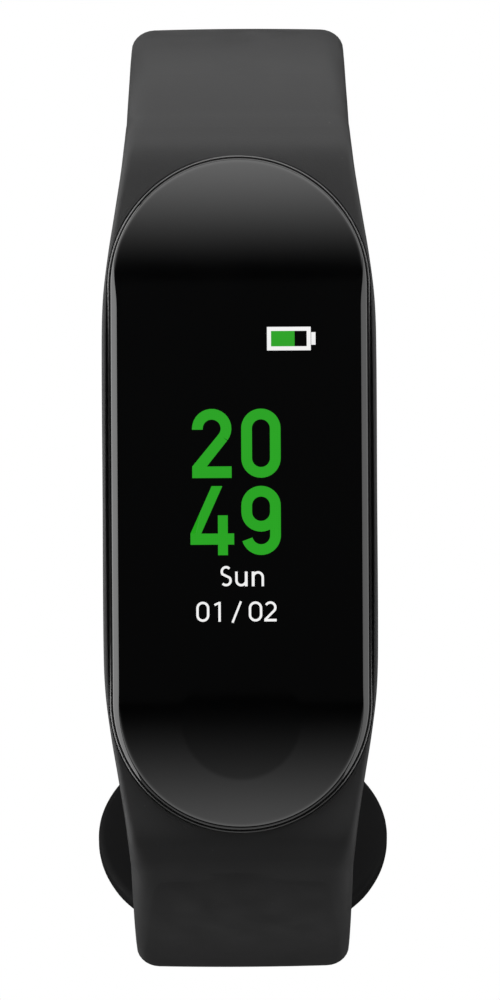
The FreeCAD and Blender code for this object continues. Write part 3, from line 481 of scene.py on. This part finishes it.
# The cradle from its middle to the strap's root, as (z along the front, y of the front face) and so
# on.  Both ends are alike, and the strap's own line takes over at the root.
ROOT_Y, ROOT_Z = [value / MM for value in JOINT_AT["long_strap_bend_1"][1:]]
ROOT_ANGLE = math.radians(ROOT_HEADING)
ROOT_FRONT = (
    ROOT_Y - STRAP_THICK / 2 * math.sin(ROOT_ANGLE), ROOT_Z + STRAP_THICK / 2 * math.cos(ROOT_ANGLE),
)
ROOT_REAR = (
    ROOT_Y + STRAP_THICK / 2 * math.sin(ROOT_ANGLE), ROOT_Z - STRAP_THICK / 2 * math.cos(ROOT_ANGLE),
)
FRONT_LINE = [
    (-32.9, 0.0), (-32.78, 8.0), (-32.45, 16.0), (-32.1, 21.0), (-31.75, 23.8), (-31.0, 25.25),
    (-30.4, 26.1), ROOT_FRONT,
]
REAR_LINE = [
    (-23.4, 0.0), (-23.4, 8.0), (-23.4, 15.0), (-23.55, 19.5), (-24.3, 22.4), (-25.9, 24.1),
    (-27.3, 24.85), ROOT_REAR,
]
KNOTS = (0.0, 8.0, 15.5, 20.4, 23.6, 25.9, 27.2, 28.0)
BLEND_KNOT = 26.4
HALF_WIDTHS = [
    (0.0, 9.53), (10.5, 9.53), (13.4, 9.42), (16.2, 9.06), (18.9, 8.6), (21.7, 8.16), (23.8, 7.93),
    (26.0, 7.77), (28.0, 7.72),
]
STRAP_ROUND = 1.4
REAR_ROUND = 0.55
CROWN = 0.12
STRETCH = 1.15
LONG_HALF_WIDTHS = [(0.0, 7.77), (5.0, 7.62), (10.0, 7.55)]
SHORT_HALF_WIDTHS = [(0.0, 7.77), (4.0, 7.7), (12.0, 7.6), (20.0, 7.6)]
SHORT_THINNING = [(0.0, 0.0), (6.0, 0.22), (16.0, 0.32), (30.0, 0.2), (38.0, 0.0)]
CRADLE_FRONT_ROUND = [(0.0, 0.34), (14.0, 0.34), (20.0, 0.5), (24.0, 0.8), (28.0, STRAP_ROUND)]
CRADLE_REAR_ROUND = [(0.0, 1.5), (21.0, 1.3), (25.0, 0.8), (28.0, REAR_ROUND)]


def cradle_section(knot, side):
    """The ring at one knot value; side is 1 towards the long strap and -1 towards the short one."""
    front = [through(list(zip(KNOTS, [point[axis] for point in FRONT_LINE])), knot) for axis in (0, 1)]
    rear = [through(list(zip(KNOTS, [point[axis] for point in REAR_LINE])), knot) for axis in (0, 1)]
    mean_z = (front[1] + rear[1]) / 2
    return section(
        (front[0], side * front[1]), (rear[0], side * rear[1]), through(HALF_WIDTHS, mean_z),
        through(CRADLE_FRONT_ROUND, knot), through(CRADLE_REAR_ROUND, knot),
        crown=CROWN * ease(knot, 20.0, KNOTS[-1]), stretch=1 + (STRETCH - 1) * ease(knot, 20.0, KNOTS[-1]),
    )


def strap_section(station, sign, thick, half_width, edge=STRAP_ROUND, inset=0.0):
    """The ring across a strap at a station; sign is -1 for the long strap, whose outer side is left."""
    y, z, heading = station
    angle = math.radians(heading)
    out_y = sign * math.sin(angle)
    out_z = -sign * math.cos(angle)
    front = (y + out_y * thick / 2, z + out_z * thick / 2)
    rear = (y - out_y * thick / 2, z - out_z * thick / 2)
    return section(front, rear, half_width, edge, min(edge, REAR_ROUND), inset, CROWN, STRETCH)


def steps_between(low, high, step=SECTION_STEP):
    """Evenly spaced values from low to high, both included."""
    count = max(2, math.ceil((high - low) / step))
    return [low + (high - low) * index / count for index in range(count + 1)]


long_line = strap_line("long", LONG_LINKS, -1, TIP_PIECES)
short_line = strap_line("short", SHORT_LINKS, 1, PADDLE_PIECES)
long_starts = link_starts(long_line)
short_starts = link_starts(short_line)

END_ROUND = 0.8
TIP_CORNER = 4.5
PADDLE_RADIUS = 11.0
PADDLE_CENTRE = 5.7
PADDLE_REACH = 10.35
FLARE_BLEND = 0.35
FLARE_LENGTH = 6.0
FLARE_WIDTHS = (7.9, 9.5)
PADDLE_ROUND = 1.05


def end_inset(left):
    """How far a ring is drawn in when it lies this far from a rounded end."""
    if left >= END_ROUND:
        return 0.0
    return END_ROUND - math.sqrt(END_ROUND ** 2 - (END_ROUND - left) ** 2)


def long_ring(distance):
    """The ring this far along the long strap, with the tail's thinner, round-cornered end."""
    total = long_starts[-1]
    left = total - distance
    half_width = through(LONG_HALF_WIDTHS, distance)
    if left < TIP_CORNER:
        half_width += math.sqrt(TIP_CORNER ** 2 - (TIP_CORNER - left) ** 2) - TIP_CORNER
    tail = ease(distance, long_starts[8] - 1.5, long_starts[8] + 0.5)
    thick = STRAP_THICK + (TAIL_THICK - STRAP_THICK) * tail
    inset = min(end_inset(left), thick / 2 * 0.9)
    return strap_section(line_station(long_line, distance), -1, thick, half_width, STRAP_ROUND, inset)


def short_ring(distance):
    """The ring this far along the short strap, which flares into the round paddle."""
    half_width = through(SHORT_HALF_WIDTHS, distance)
    plate_start = short_starts[-1] - PADDLE_PIECES[1][0]
    from_centre = distance - plate_start - PADDLE_CENTRE
    reach = PADDLE_PIECES[1][0] - PADDLE_CENTRE if from_centre > 0 else PADDLE_REACH
    disc = PADDLE_RADIUS * math.sqrt(max(1 - (from_centre / reach) ** 2, 0.0))
    if from_centre > 0:
        half_width = disc
    else:
        gap = (disc - half_width) / FLARE_BLEND
        half_width += FLARE_BLEND * math.log(1 + math.exp(gap)) if gap < 20 else disc - half_width
    flare = ease(half_width, *FLARE_WIDTHS) if distance > plate_start - FLARE_LENGTH else 0.0
    edge = STRAP_ROUND + (PADDLE_ROUND - STRAP_ROUND) * flare
    thick = STRAP_THICK - through(SHORT_THINNING, distance)
    y, z, heading = line_station(short_line, distance)
    angle = math.radians(heading)
    lift = (STRAP_THICK - thick) / 2
    station = (y - lift * math.sin(angle), z + lift * math.cos(angle), heading)
    return strap_section(station, 1, thick, half_width, edge)


def paddle_steps(low, high):
    """Distances that crowd together towards the round end of the paddle."""
    reach = PADDLE_PIECES[1][0] - PADDLE_CENTRE
    plate = steps_between(low, high - reach)
    count = 44
    arc = [high - reach * (1 - math.sin(math.pi / 2 * index / count)) for index in range(1, count)]
    return plate + arc + [high - 0.0004]


def tip_steps(low, high):
    """Distances that crowd together towards the rounded tail end."""
    count = 26
    start = high - TIP_CORNER
    arc = [start + TIP_CORNER * math.sin(math.pi / 2 * index / count) for index in range(1, count + 1)]
    return steps_between(low, start) + arc


def mid_station(links, starts, number):
    """The point halfway along a link, in metres."""
    y, z, _ = line_station(links, (starts[number - 1] + starts[number]) / 2)
    return Vector((0, y, z)) * MM


# ---------------------------------------------------------------- cutters
HOLE_PITCH = 6.2
HOLE_WIDE = 3.6
HOLE_TALL = 2.3
HOLE_FROM_TIP = 4.03
HOLE_COUNT = 8
HOLE_EASE = 0.18
SLOT_CENTRE = 6.9
SLOT_WIDE = 16.0
SLOT_TALL = 7.3
SLOT_CORNER = 0.9
SLOT_EASE = 0.2


def stadium(half_width, spine_half, count):
    """Points (x, z) round a stadium whose round ends are spine_half from the middle."""
    quarter = count // 4
    points = []
    for index in range(quarter * 2):
        angle = math.pi * index / (quarter * 2)
        points.append((half_width * math.cos(angle), spine_half + half_width * math.sin(angle)))
    for index in range(quarter // 2 * 2):
        share = index / (quarter // 2 * 2)
        points.append((-half_width, spine_half - 2 * spine_half * share))
    for index in range(quarter * 2):
        angle = math.pi + math.pi * index / (quarter * 2)
        points.append((half_width * math.cos(angle), -spine_half + half_width * math.sin(angle)))
    for index in range(quarter // 2 * 2):
        share = index / (quarter // 2 * 2)
        points.append((half_width, -spine_half + 2 * spine_half * share))
    return points


def stadium_rings(levels, spine_half, count=256):
    """Rings facing -Y, one for each (half width, depth) pair."""
    return [
        [Vector((x, -depth, z)) for x, z in stadium(half_width, spine_half, count)]
        for half_width, depth in levels
    ]


def eased_levels(ease_width):
    """Levels through the strap, with how much a cutter grows there so that its rim is eased."""
    half = STRAP_THICK / 2
    return (
        (-2 * half, ease_width), (-half - 0.02, ease_width), (-half + ease_width, 0.0),
        (half - ease_width, 0.0), (half + 0.02, ease_width), (2 * half, ease_width),
    )


def pill_cutter(name, station):
    """A pill-shaped cutter across the strap and square to its face."""
    y, z, heading = station
    angle = math.radians(heading)
    along = Vector((0, math.cos(angle), math.sin(angle)))
    out = Vector((0, -math.sin(angle), math.cos(angle)))
    centre = Vector((0, y, z))
    radius = HOLE_TALL / 2
    reach = (HOLE_WIDE - HOLE_TALL) / 2
    rings = []
    for level, grow in eased_levels(HOLE_EASE):
        rings.append([
            centre + out * level + Vector((across, 0, 0)) + along * up
            for up, across in stadium(radius + grow, reach, 64)
        ])
    return ring_solid(name, rings, MATERIALS["silicone"])


def slot_cutter():
    """The paddle's slot: a rectangle with rounded corners, eased where it meets the faces."""
    plate_start = short_starts[-1] - PADDLE_PIECES[1][0]
    y, z, heading = line_station(short_line, plate_start + SLOT_CENTRE)
    angle = math.radians(heading)
    along = Vector((0, math.cos(angle), math.sin(angle)))
    out = Vector((0, math.sin(angle), -math.cos(angle)))
    centre = Vector((0, y, z))
    rings = []
    for level, grow in eased_levels(SLOT_EASE):
        ring = []
        for corner_x, corner_s, start in ((1, 1, 0), (-1, 1, 90), (-1, -1, 180), (1, -1, 270)):
            for step in range(7):
                turn = math.radians(start + 15 * step)
                x = corner_x * (SLOT_WIDE / 2 - SLOT_CORNER) + (SLOT_CORNER + grow) * math.cos(turn)
                s = corner_s * (SLOT_TALL / 2 - SLOT_CORNER) + (SLOT_CORNER + grow) * math.sin(turn)
                ring.append(centre + out * level + Vector((x, 0, 0)) + along * s)
        rings.append(ring)
    return ring_solid("slot_cutter", rings, MATERIALS["silicone"])


# ---------------------------------------------------------------- the band
POCKET_SPINE = 14.4
WINDOW_SPINE = 12.9
POCKET_LEVELS = [
    (9.36, 36.0), (9.36, 32.98), (9.26, 32.72), (9.19, 32.55), (9.19, 31.86), (8.82, 31.84), (8.82, 26.4),
    (8.7, 25.7), (8.4, 25.0), (7.9, 24.55), (7.2, 24.4),
]
WINDOW_LEVELS = [(7.65, 30.0), (7.65, 23.7), (7.85, 23.35), (7.95, 22.0)]


def build_cradle():
    """The cradle with the pocket that the capsule snaps into."""
    upper = [cradle_section(knot, 1) for knot in steps_between(0.0, BLEND_KNOT)]
    lower = [cradle_section(knot, -1) for knot in steps_between(0.0, BLEND_KNOT)]
    rings = lower[:0:-1] + upper
    cradle = ring_solid("cradle_ring", rings, MATERIALS["silicone"])
    lip = ring_solid("pocket_lip", stadium_rings(POCKET_LEVELS, POCKET_SPINE), MATERIALS["silicone"])
    window = ring_solid("pocket_window", stadium_rings(WINDOW_LEVELS, WINDOW_SPINE), MATERIALS["silicone"])
    cut(cradle, [lip, window])
    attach(cradle, "cradle")
    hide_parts("cradle")


def build_long_strap():
    """The long strap with its holes, cut in the middle of each link, along arcs that run through the hinges."""
    root = (BLEND_KNOT, 1)
    stud_hole = long_starts[-1] - HOLE_FROM_TIP
    holes = [stud_hole - HOLE_PITCH * count for count in range(HOLE_COUNT)]
    front = cradle_section(*root)
    for number in range(1, LONG_LINKS + 1):
        low = 0.0 if number == 1 else (long_starts[number - 2] + long_starts[number - 1]) / 2
        high = (long_starts[number - 1] + long_starts[number]) / 2
        if number == LONG_LINKS:
            distances = tip_steps(low, long_starts[-1])
        else:
            distances = steps_between(low, high)
        rings = [long_ring(distance) for distance in distances]
        if number == 1:
            rings = [cradle_section(knot, 1) for knot in steps_between(BLEND_KNOT, KNOTS[-1])][:-1] + rings
        name = "strap_long_tip" if number == LONG_LINKS else f"strap_long_{number}"
        piece = ring_solid(name + "_silicone", rings, MATERIALS["silicone"])
        reach = long_starts[-1] if number == LONG_LINKS else high
        inside = [hole for hole in holes if low < hole < reach]
        crossing = [hole for hole in holes if min(abs(hole - low), abs(hole - reach)) < HOLE_TALL]
        cutters = [
            pill_cutter(f"hole_{index}", line_station(long_line, hole))
            for index, hole in enumerate(sorted(set(inside + crossing)))
        ]
        if cutters:
            cut(piece, cutters)
        end_point = mid_station(long_line, long_starts, number)
        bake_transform(piece)
        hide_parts(name)


def build_short_strap():
    """The short strap with the paddle, cut in the middle of each link, along arcs that run through the hinges."""
    front = cradle_section(BLEND_KNOT, -1)
    plate_start = short_starts[-1] - PADDLE_PIECES[1][0]
    for number in range(1, SHORT_LINKS + 1):
        low = 0.0 if number == 1 else (short_starts[number - 2] + short_starts[number - 1]) / 2
        high = (short_starts[number - 1] + short_starts[number]) / 2
        if number == SHORT_LINKS:
            distances = paddle_steps(low, short_starts[-1])
        else:
            distances = steps_between(low, high)
        rings = [short_ring(distance) for distance in distances]
        if number == 1:
            rings = [cradle_section(knot, -1) for knot in steps_between(BLEND_KNOT, KNOTS[-1])][:-1] + rings
        name = "strap_paddle" if number == SHORT_LINKS else f"strap_short_{number}"
        # The paddle piece takes the darker copy of the silicone, which is painted shade.
        finish = PADDLE_SILICONE_PAINTED_SHADE if number == SHORT_LINKS else MATERIALS["silicone"]
        piece = ring_solid(name + "_silicone", rings, finish)
        if number == SHORT_LINKS:
            cut(piece, [slot_cutter()])
            y, z, _ = line_station(short_line, plate_start)
            end_point = Vector((0, y, z)) * MM
        else:
            end_point = mid_station(short_line, short_starts, number)
        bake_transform(piece)
        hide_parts(name)


# ---------------------------------------------------------------- the capsule's front
LENS_HALF = 8.92
LENS_SPINE = 14.38
LENS_BACK = 32.2
LENS_CROWN = 34.17
LENS_BOW = 229.0
EDGE_WIDTH = 0.47
# Width of the sloping edge at each round end, and the share of that end over which it narrows.
TOP_EDGE = (0.03, 0.40)
BOTTOM_EDGE = (0.16, 0.90)
EDGE_SLOPE = 0.80
EDGE_SOFT = 0.05
RIM_WIDTH = 0.12
KEY_Z = -15.63
KEY_RADIUS = 4.15
KEY_DEPTH = 0.016


def lens_depth(x, z):
    """Depth of the front of the glass, away from its rounded edge."""
    depth = LENS_CROWN - z * z / (2 * LENS_BOW)
    from_key = math.hypot(x, z - KEY_Z) / KEY_RADIUS
    if from_key < 1:
        depth -= KEY_DEPTH * (1 - from_key ** 2)
    return depth


def edge_drop(z, inset):
    """How far the edge of the glass falls below its front: a slope along both long sides that
    narrows round the ends, and a fine rounding all round."""
    narrow, reach = TOP_EDGE if z > 0 else BOTTOM_EDGE
    share = ease(abs(z), LENS_SPINE - 1.5, LENS_SPINE + LENS_HALF * reach)
    past = EDGE_WIDTH + (narrow - EDGE_WIDTH) * share - inset
    slope = EDGE_SLOPE * EDGE_SOFT * math.log(1 + math.exp(past / EDGE_SOFT))
    corner = max(RIM_WIDTH - inset, 0.0)
    return slope + corner ** 2 / RIM_WIDTH


def build_lens():
    """The bowed cover glass with its rounded edge and the dished touch key."""
    count = 512
    rings = []
    for inset, depth in ((0.25, LENS_BACK), (0.0, LENS_BACK + 0.2)):
        rings.append([Vector((x, -depth, z)) for x, z in stadium(LENS_HALF - inset, LENS_SPINE, count)])
    edge = EDGE_WIDTH * 1.6
    for inset in steps_between(0.0, edge, 0.02) + steps_between(edge, LENS_HALF - 1e-5, 0.13)[1:]:
        rings.append([
            Vector((x, edge_drop(z, inset) - lens_depth(x, z), z))
            for x, z in stadium(LENS_HALF - inset, LENS_SPINE, count)
        ])
    bm = bmesh.new()
    loops = add_rings(bm, rings, capped=False)
    bm.faces.new(loops[0])
    lens = finish_mesh("lens_glass", bm, MATERIALS["black_glass"])
    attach(lens, "capsule")
    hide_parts("lens_cover")


TRIM_PROFILE = [
    (9.12, 32.05), (9.12, 32.5), (9.085, 32.57), (9.03, 32.6), (8.975, 32.57), (8.94, 32.5), (8.94, 32.2),
    (8.63, 32.2), (8.63, 32.05),
]


def build_trim():
    """The glossy rim that shows as a thin bright line round the glass."""
    rings = stadium_rings(TRIM_PROFILE, LENS_SPINE, 384)
    trim = ring_solid("trim_rim", rings, MATERIALS["trim_gloss"], closed=True)
    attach(trim, "capsule")
    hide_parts("trim_ring")


# ---------------------------------------------------------------- what the display shows
LIT_GAP = 0.012


def arc_path(centre_x, centre_z, radius_x, radius_z, start, end, steps=18):
    """Points along part of an ellipse, angles in degrees."""
    return [
        (
            centre_x + radius_x * math.cos(math.radians(start + (end - start) * step / steps)),
            centre_z + radius_z * math.sin(math.radians(start + (end - start) * step / steps)),
        )
        for step in range(steps + 1)
    ]


def add_ribbon(bm, path, width, closed=False):
    """A flat strip of this width along a path of (x, z) points, mitred at its corners."""
    count = len(path)
    left = []
    right = []
    for index, (x, z) in enumerate(path):
        before = path[(index - 1) % count] if closed or index else path[0]
        after = path[(index + 1) % count] if closed or index < count - 1 else path[-1]
        directions = []
        for (x0, z0), (x1, z1) in ((before, (x, z)), ((x, z), after)):
            length = math.hypot(x1 - x0, z1 - z0)
            if length > 1e-6:
                directions.append(((x1 - x0) / length, (z1 - z0) / length))
        mean_x = sum(direction[0] for direction in directions)
        mean_z = sum(direction[1] for direction in directions)
        length = math.hypot(mean_x, mean_z)
        mean_x /= length
        mean_z /= length
        stretch = 1.0 / max(mean_x * directions[0][0] + mean_z * directions[0][1], 0.5)
        reach = width / 2 * stretch
        left.append((x - mean_z * reach, z + mean_x * reach))
        right.append((x + mean_z * reach, z - mean_x * reach))
    add_strip(bm, left, right, closed)


def add_strip(bm, left, right, closed=False):
    """Quads between two edges of equal length, laid just over the glass."""
    def lay(point):
        return bm.verts.new((point[0], -lens_depth(*point) - LIT_GAP, point[1]))
    rows = [(lay(a), lay(b)) for a, b in zip(left, right)]
    pairs = list(zip(rows[:-1], rows[1:]))
    if closed:
        pairs.append((rows[-1], rows[0]))
    for (a0, b0), (a1, b1) in pairs:
        bm.faces.new((a0, b0, b1, a1))


def add_bar(bm, x0, z0, x1, z1):
    """A flat bar with these corners."""
    add_strip(bm, [(x0, z1), (x1, z1)], [(x0, z0), (x1, z0)])


def shifted(path, x, z):
    """The path moved by x and z."""
    return [(point_x + x, point_z + z) for point_x, point_z in path]


def add_digit(bm, digit, x, z, wide, tall, stroke):
    """One digit in a box whose lower left corner is at x, z."""
    half = stroke / 2
    radius = wide / 2 - half
    middle = wide / 2
    top = tall - half - radius
    if digit == "0":
        path = arc_path(middle, top, radius, radius, 0, 180)
        path += arc_path(middle, half + radius, radius, radius, 180, 360)
        add_ribbon(bm, shifted(path, x, z), stroke, closed=True)
    if digit == "1":
        path = [(wide - half, 0.0), (wide - half, tall - half * 0.2)]
        add_ribbon(bm, shifted(path, x, z), stroke)
        flag = [(wide - half, tall - half * 0.9), (wide - half - wide * 0.62, tall - wide * 0.42)]
        add_ribbon(bm, shifted(flag, x, z), stroke * 0.9)
    if digit == "2":
        path = [(half, tall * 0.70), (half, top)] if stroke > 0.4 else []
        path += arc_path(middle, top, radius, radius, 180 if path else 150, TWO_TURN)
        add_ribbon(bm, shifted(path, x, z), stroke)
        along = math.cos(math.radians(TWO_TURN))
        down = math.sin(math.radians(TWO_TURN))
        foot = stroke * 1.08
        inner = [(middle + (radius - half) * along, top + (radius - half) * down), (0.0, foot)]
        outer = [(middle + (radius + half) * along, top + (radius + half) * down), (stroke * 1.36, foot)]
        add_strip(bm, shifted(inner, x, z), shifted(outer, x, z))
        add_bar(bm, x, z, x + wide, z + foot)
    if digit == "4":
        bar_low = tall * 0.153
        bar_high = bar_low + stroke * 1.04
        top_left = wide * 0.49
        slope = stroke * 0.93
        add_strip(
            bm,
            [(x + top_left, z + tall), (x, z + bar_high)],
            [(x + top_left + slope * 1.08, z + tall), (x + slope * 1.08, z + bar_high)],
        )
        add_bar(bm, x, z + bar_low, x + wide, z + bar_high)
        add_bar(bm, x + wide * 0.63, z, x + wide * 0.63 + stroke * 0.92, z + tall * 0.576)
    if digit == "9":
        bowl = tall * 0.662
        low = tall - bowl + half + radius
        path = arc_path(middle, top, radius, radius, 0, 180)
        path += arc_path(middle, low, radius, radius, 180, 360)
        add_ribbon(bm, shifted(path, x, z), stroke, closed=True)
        hook = [(wide - half, low), (wide - half, half + radius)]
        hook += arc_path(middle, half + radius, radius, radius, 0, -164)[1:]
        add_ribbon(bm, shifted(hook, x, z), stroke)


DIGIT_WIDE = 2.72
DIGIT_TALL = 4.78
DIGIT_STROKE = 0.74
TWO_TURN = -38.0
TIME_ROWS = [("2", -3.28, 1.12), ("0", 0.12, 1.12), ("4", -3.43, -4.22), ("9", 0.10, -4.22)]
SMALL_TALL = 1.39
SMALL_STROKE = 0.165
DATE_BASE = -8.82
DATE_DIGITS = [("0", -3.06, 0.90), ("1", -1.93, 0.56), ("0", 0.57, 0.93), ("2", 1.64, 0.85)]
BATTERY_LEFT = 1.94
BATTERY_RIGHT = 4.97
BATTERY_TOP = 11.55
BATTERY_LOW = 9.92
BATTERY_WALL = 0.28
BATTERY_LEVEL = 3.85


def lit_piece(name, bm, material):
    """A lit part of the picture, which goes with the capsule."""
    piece = finish_mesh(name, bm, material)
    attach(piece, "capsule")


def build_picture():
    """The hour and minutes, the weekday, the date and the charge, drawn as lit shapes."""
    bm = bmesh.new()
    for digit, x, z in TIME_ROWS:
        wide = DIGIT_WIDE * (1.11 if digit == "4" else 1.0)
        add_digit(bm, digit, x, z, wide, DIGIT_TALL, DIGIT_STROKE)
    lit_piece("lit_time", bm, GREEN_LIGHT)

    bm = bmesh.new()
    for digit, x, wide in DATE_DIGITS:
        add_digit(bm, digit, x, DATE_BASE, wide, SMALL_TALL, SMALL_STROKE)
    add_ribbon(bm, [(-0.56, DATE_BASE - 0.07), (0.03, DATE_BASE + SMALL_TALL + 0.01)], 0.15)
    add_weekday(bm)
    lit_piece("lit_date", bm, WHITE_LIGHT)

    bm = bmesh.new()
    half = BATTERY_WALL / 2
    outline = [
        (BATTERY_LEFT + half, BATTERY_LOW + half), (BATTERY_RIGHT - half, BATTERY_LOW + half),
        (BATTERY_RIGHT - half, BATTERY_TOP - half), (BATTERY_LEFT + half, BATTERY_TOP - half),
    ]
    add_ribbon(bm, outline, BATTERY_WALL, closed=True)
    add_bar(bm, BATTERY_RIGHT + 0.03, BATTERY_LOW + 0.38, BATTERY_RIGHT + 0.33, BATTERY_TOP - 0.38)
    lit_piece("lit_battery_outline", bm, WHITE_LIGHT)

    bm = bmesh.new()
    add_bar(
        bm, BATTERY_LEFT + BATTERY_WALL, BATTERY_LOW + BATTERY_WALL,
        BATTERY_LEVEL, BATTERY_TOP - BATTERY_WALL,
    )
    lit_piece("lit_battery_level", bm, GREEN_LIGHT)


def add_weekday(bm):
    """The three letters of the weekday, as thin strokes."""
    base = -6.38
    stroke = 0.165
    curve = arc_path(-0.985, base + 1.02, 0.30, 0.31, 40, 215, 14)
    curve += arc_path(-0.985, base + 0.40, 0.31, 0.31, 55, -140, 16)[1:]
    add_ribbon(bm, curve, stroke)
    low = base + 0.40
    cup = [(-0.27, base + 1.02), (-0.27, low)] + arc_path(0.06, low, 0.33, 0.32, 180, 350, 12)[1:]
    add_ribbon(bm, cup, stroke)
    add_bar(bm, 0.31, base, 0.50, base + 1.02)
    add_bar(bm, 0.79, base, 0.98, base + 1.02)
    arch = arc_path(1.22, base + 0.62, 0.33, 0.34, 170, 0, 12) + [(1.55, base)]
    add_ribbon(bm, arch, stroke)


# ---------------------------------------------------------------- floor and lights
def add_card(name, corners, material, shown=False):
    """A flat card through four corners in metres, which isn't part of the object."""
    mesh = bpy.data.meshes.new(name)
    mesh.from_pydata(corners, [], [(0, 1, 2, 3)])
    mesh.materials.append(material)
    card = bpy.data.objects.new(name, mesh)
    bpy.context.scene.collection.objects.link(card)
    card.visible_camera = shown
    card.visible_shadow = shown
    card.visible_diffuse = False
    return card


def glow_material(name, near, near_strength, far, far_strength):
    """A card whose glow eases between two strengths from one distance off the middle height to another."""
    material = bpy.data.materials.new(name)
    material.use_nodes = True
    tree = material.node_tree
    tree.nodes.clear()
    place = tree.nodes.new("ShaderNodeNewGeometry")
    parts = tree.nodes.new("ShaderNodeSeparateXYZ")
    ramp = tree.nodes.new("ShaderNodeMapRange")
    ramp.interpolation_type = "SMOOTHSTEP"
    away = tree.nodes.new("ShaderNodeMath")
    away.operation = "ABSOLUTE"
    glow = tree.nodes.new("ShaderNodeEmission")
    out = tree.nodes.new("ShaderNodeOutputMaterial")
    ramp.inputs["From Min"].default_value = near
    ramp.inputs["From Max"].default_value = far
    ramp.inputs["To Min"].default_value = near_strength
    ramp.inputs["To Max"].default_value = far_strength
    tree.links.new(place.outputs["Position"], parts.inputs["Vector"])
    tree.links.new(parts.outputs["Z"], away.inputs[0])
    tree.links.new(away.outputs[0], ramp.inputs["Value"])
    tree.links.new(ramp.outputs["Result"], glow.inputs["Strength"])
    tree.links.new(glow.outputs["Emission"], out.inputs["Surface"])
    return material


def add_area(name, position, target, width, height, power):
    """A soft light of this size in metres, turned towards a target."""
    data = bpy.data.lights.new(name, "AREA")
    data.shape = "RECTANGLE"
    data.size = width
    data.size_y = height
    data.energy = power
    light = bpy.data.objects.new(name, data)
    light.location = position
    aim = Vector(target) - Vector(position)
    light.rotation_euler = aim.to_track_quat("-Z", "Y").to_euler()
    bpy.context.scene.collection.objects.link(light)


def build_studio():
    """White surround for the camera, a pale floor, a soft light above and the cards the glass shows."""
    world = bpy.data.worlds.new("studio")
    bpy.context.scene.world = world
    world.use_nodes = True
    tree = world.node_tree
    background = tree.nodes["Background"]
    path = tree.nodes.new("ShaderNodeLightPath")
    seen = tree.nodes.new("ShaderNodeMapRange")
    seen.inputs["To Min"].default_value = WORLD_FILL
    seen.inputs["To Max"].default_value = 1.0
    tree.links.new(path.outputs["Is Camera Ray"], seen.inputs["Value"])
    tree.links.new(seen.outputs["Result"], background.inputs["Strength"])
    background.inputs["Color"].default_value = (1.0, 1.0, 1.0, 1.0)

    floor_finish, floor_tree, floor_shader = new_material("floor")
    texture = noise(floor_tree, 40.0)
    floor_tree.links.new(
        mottle(floor_tree, texture.outputs["Fac"], FLOOR_COLOUR, 0.01), floor_shader.inputs["Base Color"],
    )
    floor_shader.inputs["Roughness"].default_value = 0.8
    half = FLOOR_HALF
    add_card(
        "floor",
        [(-half, -half, FLOOR_Z), (half, -half, FLOOR_Z), (half, half, FLOOR_Z), (-half, half, FLOOR_Z)],
        floor_finish, shown=True,
    ).visible_glossy = False

    add_area("top_light", TOP_LIGHT_AT, (0, -0.01, 0), 0.7, 0.45, TOP_LIGHT_POWER)
    y = -CARD_DISTANCE
    side = CARD_HALF_WIDTH
    for name, low_z, high_z, near, far, strength in CARDS:
        add_card(
            name, [(-side, y, low_z), (side, y, low_z), (side, y, high_z), (-side, y, high_z)],
            glow_material(name, near, 0.0, far, strength),
        )
    for name, x, strength in SIDE_CARDS:
        add_card(
            name, [(x, -0.50, -0.45), (x, 0.30, -0.45), (x, 0.30, 0.50), (x, -0.50, 0.50)],
            glow_material(name, 0.0, strength, 0.5, strength * 0.9),
        )
    for name, z, strength in END_CARDS:
        add_card(
            name, [(-0.5, -0.40, z), (0.5, -0.40, z), (0.5, 0.30, z), (-0.5, 0.30, z)],
            glow_material(name, 0.0, strength, 1.0, strength),
        )


WORLD_FILL = 0.04
FLOOR_COLOUR = (0.80, 0.80, 0.79)
FLOOR_Z = -0.12
FLOOR_HALF = 1.0
TOP_LIGHT_AT = (0.0, -0.27, 0.55)
TOP_LIGHT_POWER = 2.8
CARD_DISTANCE = 0.62
CARD_HALF_WIDTH = 0.45
# Name, low and high edge, heights off the middle between which the glow eases in, and its strength.
CARDS = [
    ("upper_card", 0.110, 0.36, 0.114, 0.194, 3.7),
    ("lower_card", -0.30, -0.106, 0.107, 0.212, 2.45),
]
SIDE_CARDS = [("left_card", -0.5, 4.4), ("right_card", 0.5, 2.3)]
END_CARDS = [("overhead_card", 0.52, 2.2), ("under_card", -0.46, 0.9)]

build_cradle()
build_long_strap()
build_short_strap()
build_lens()
build_trim()
build_picture()
build_studio()
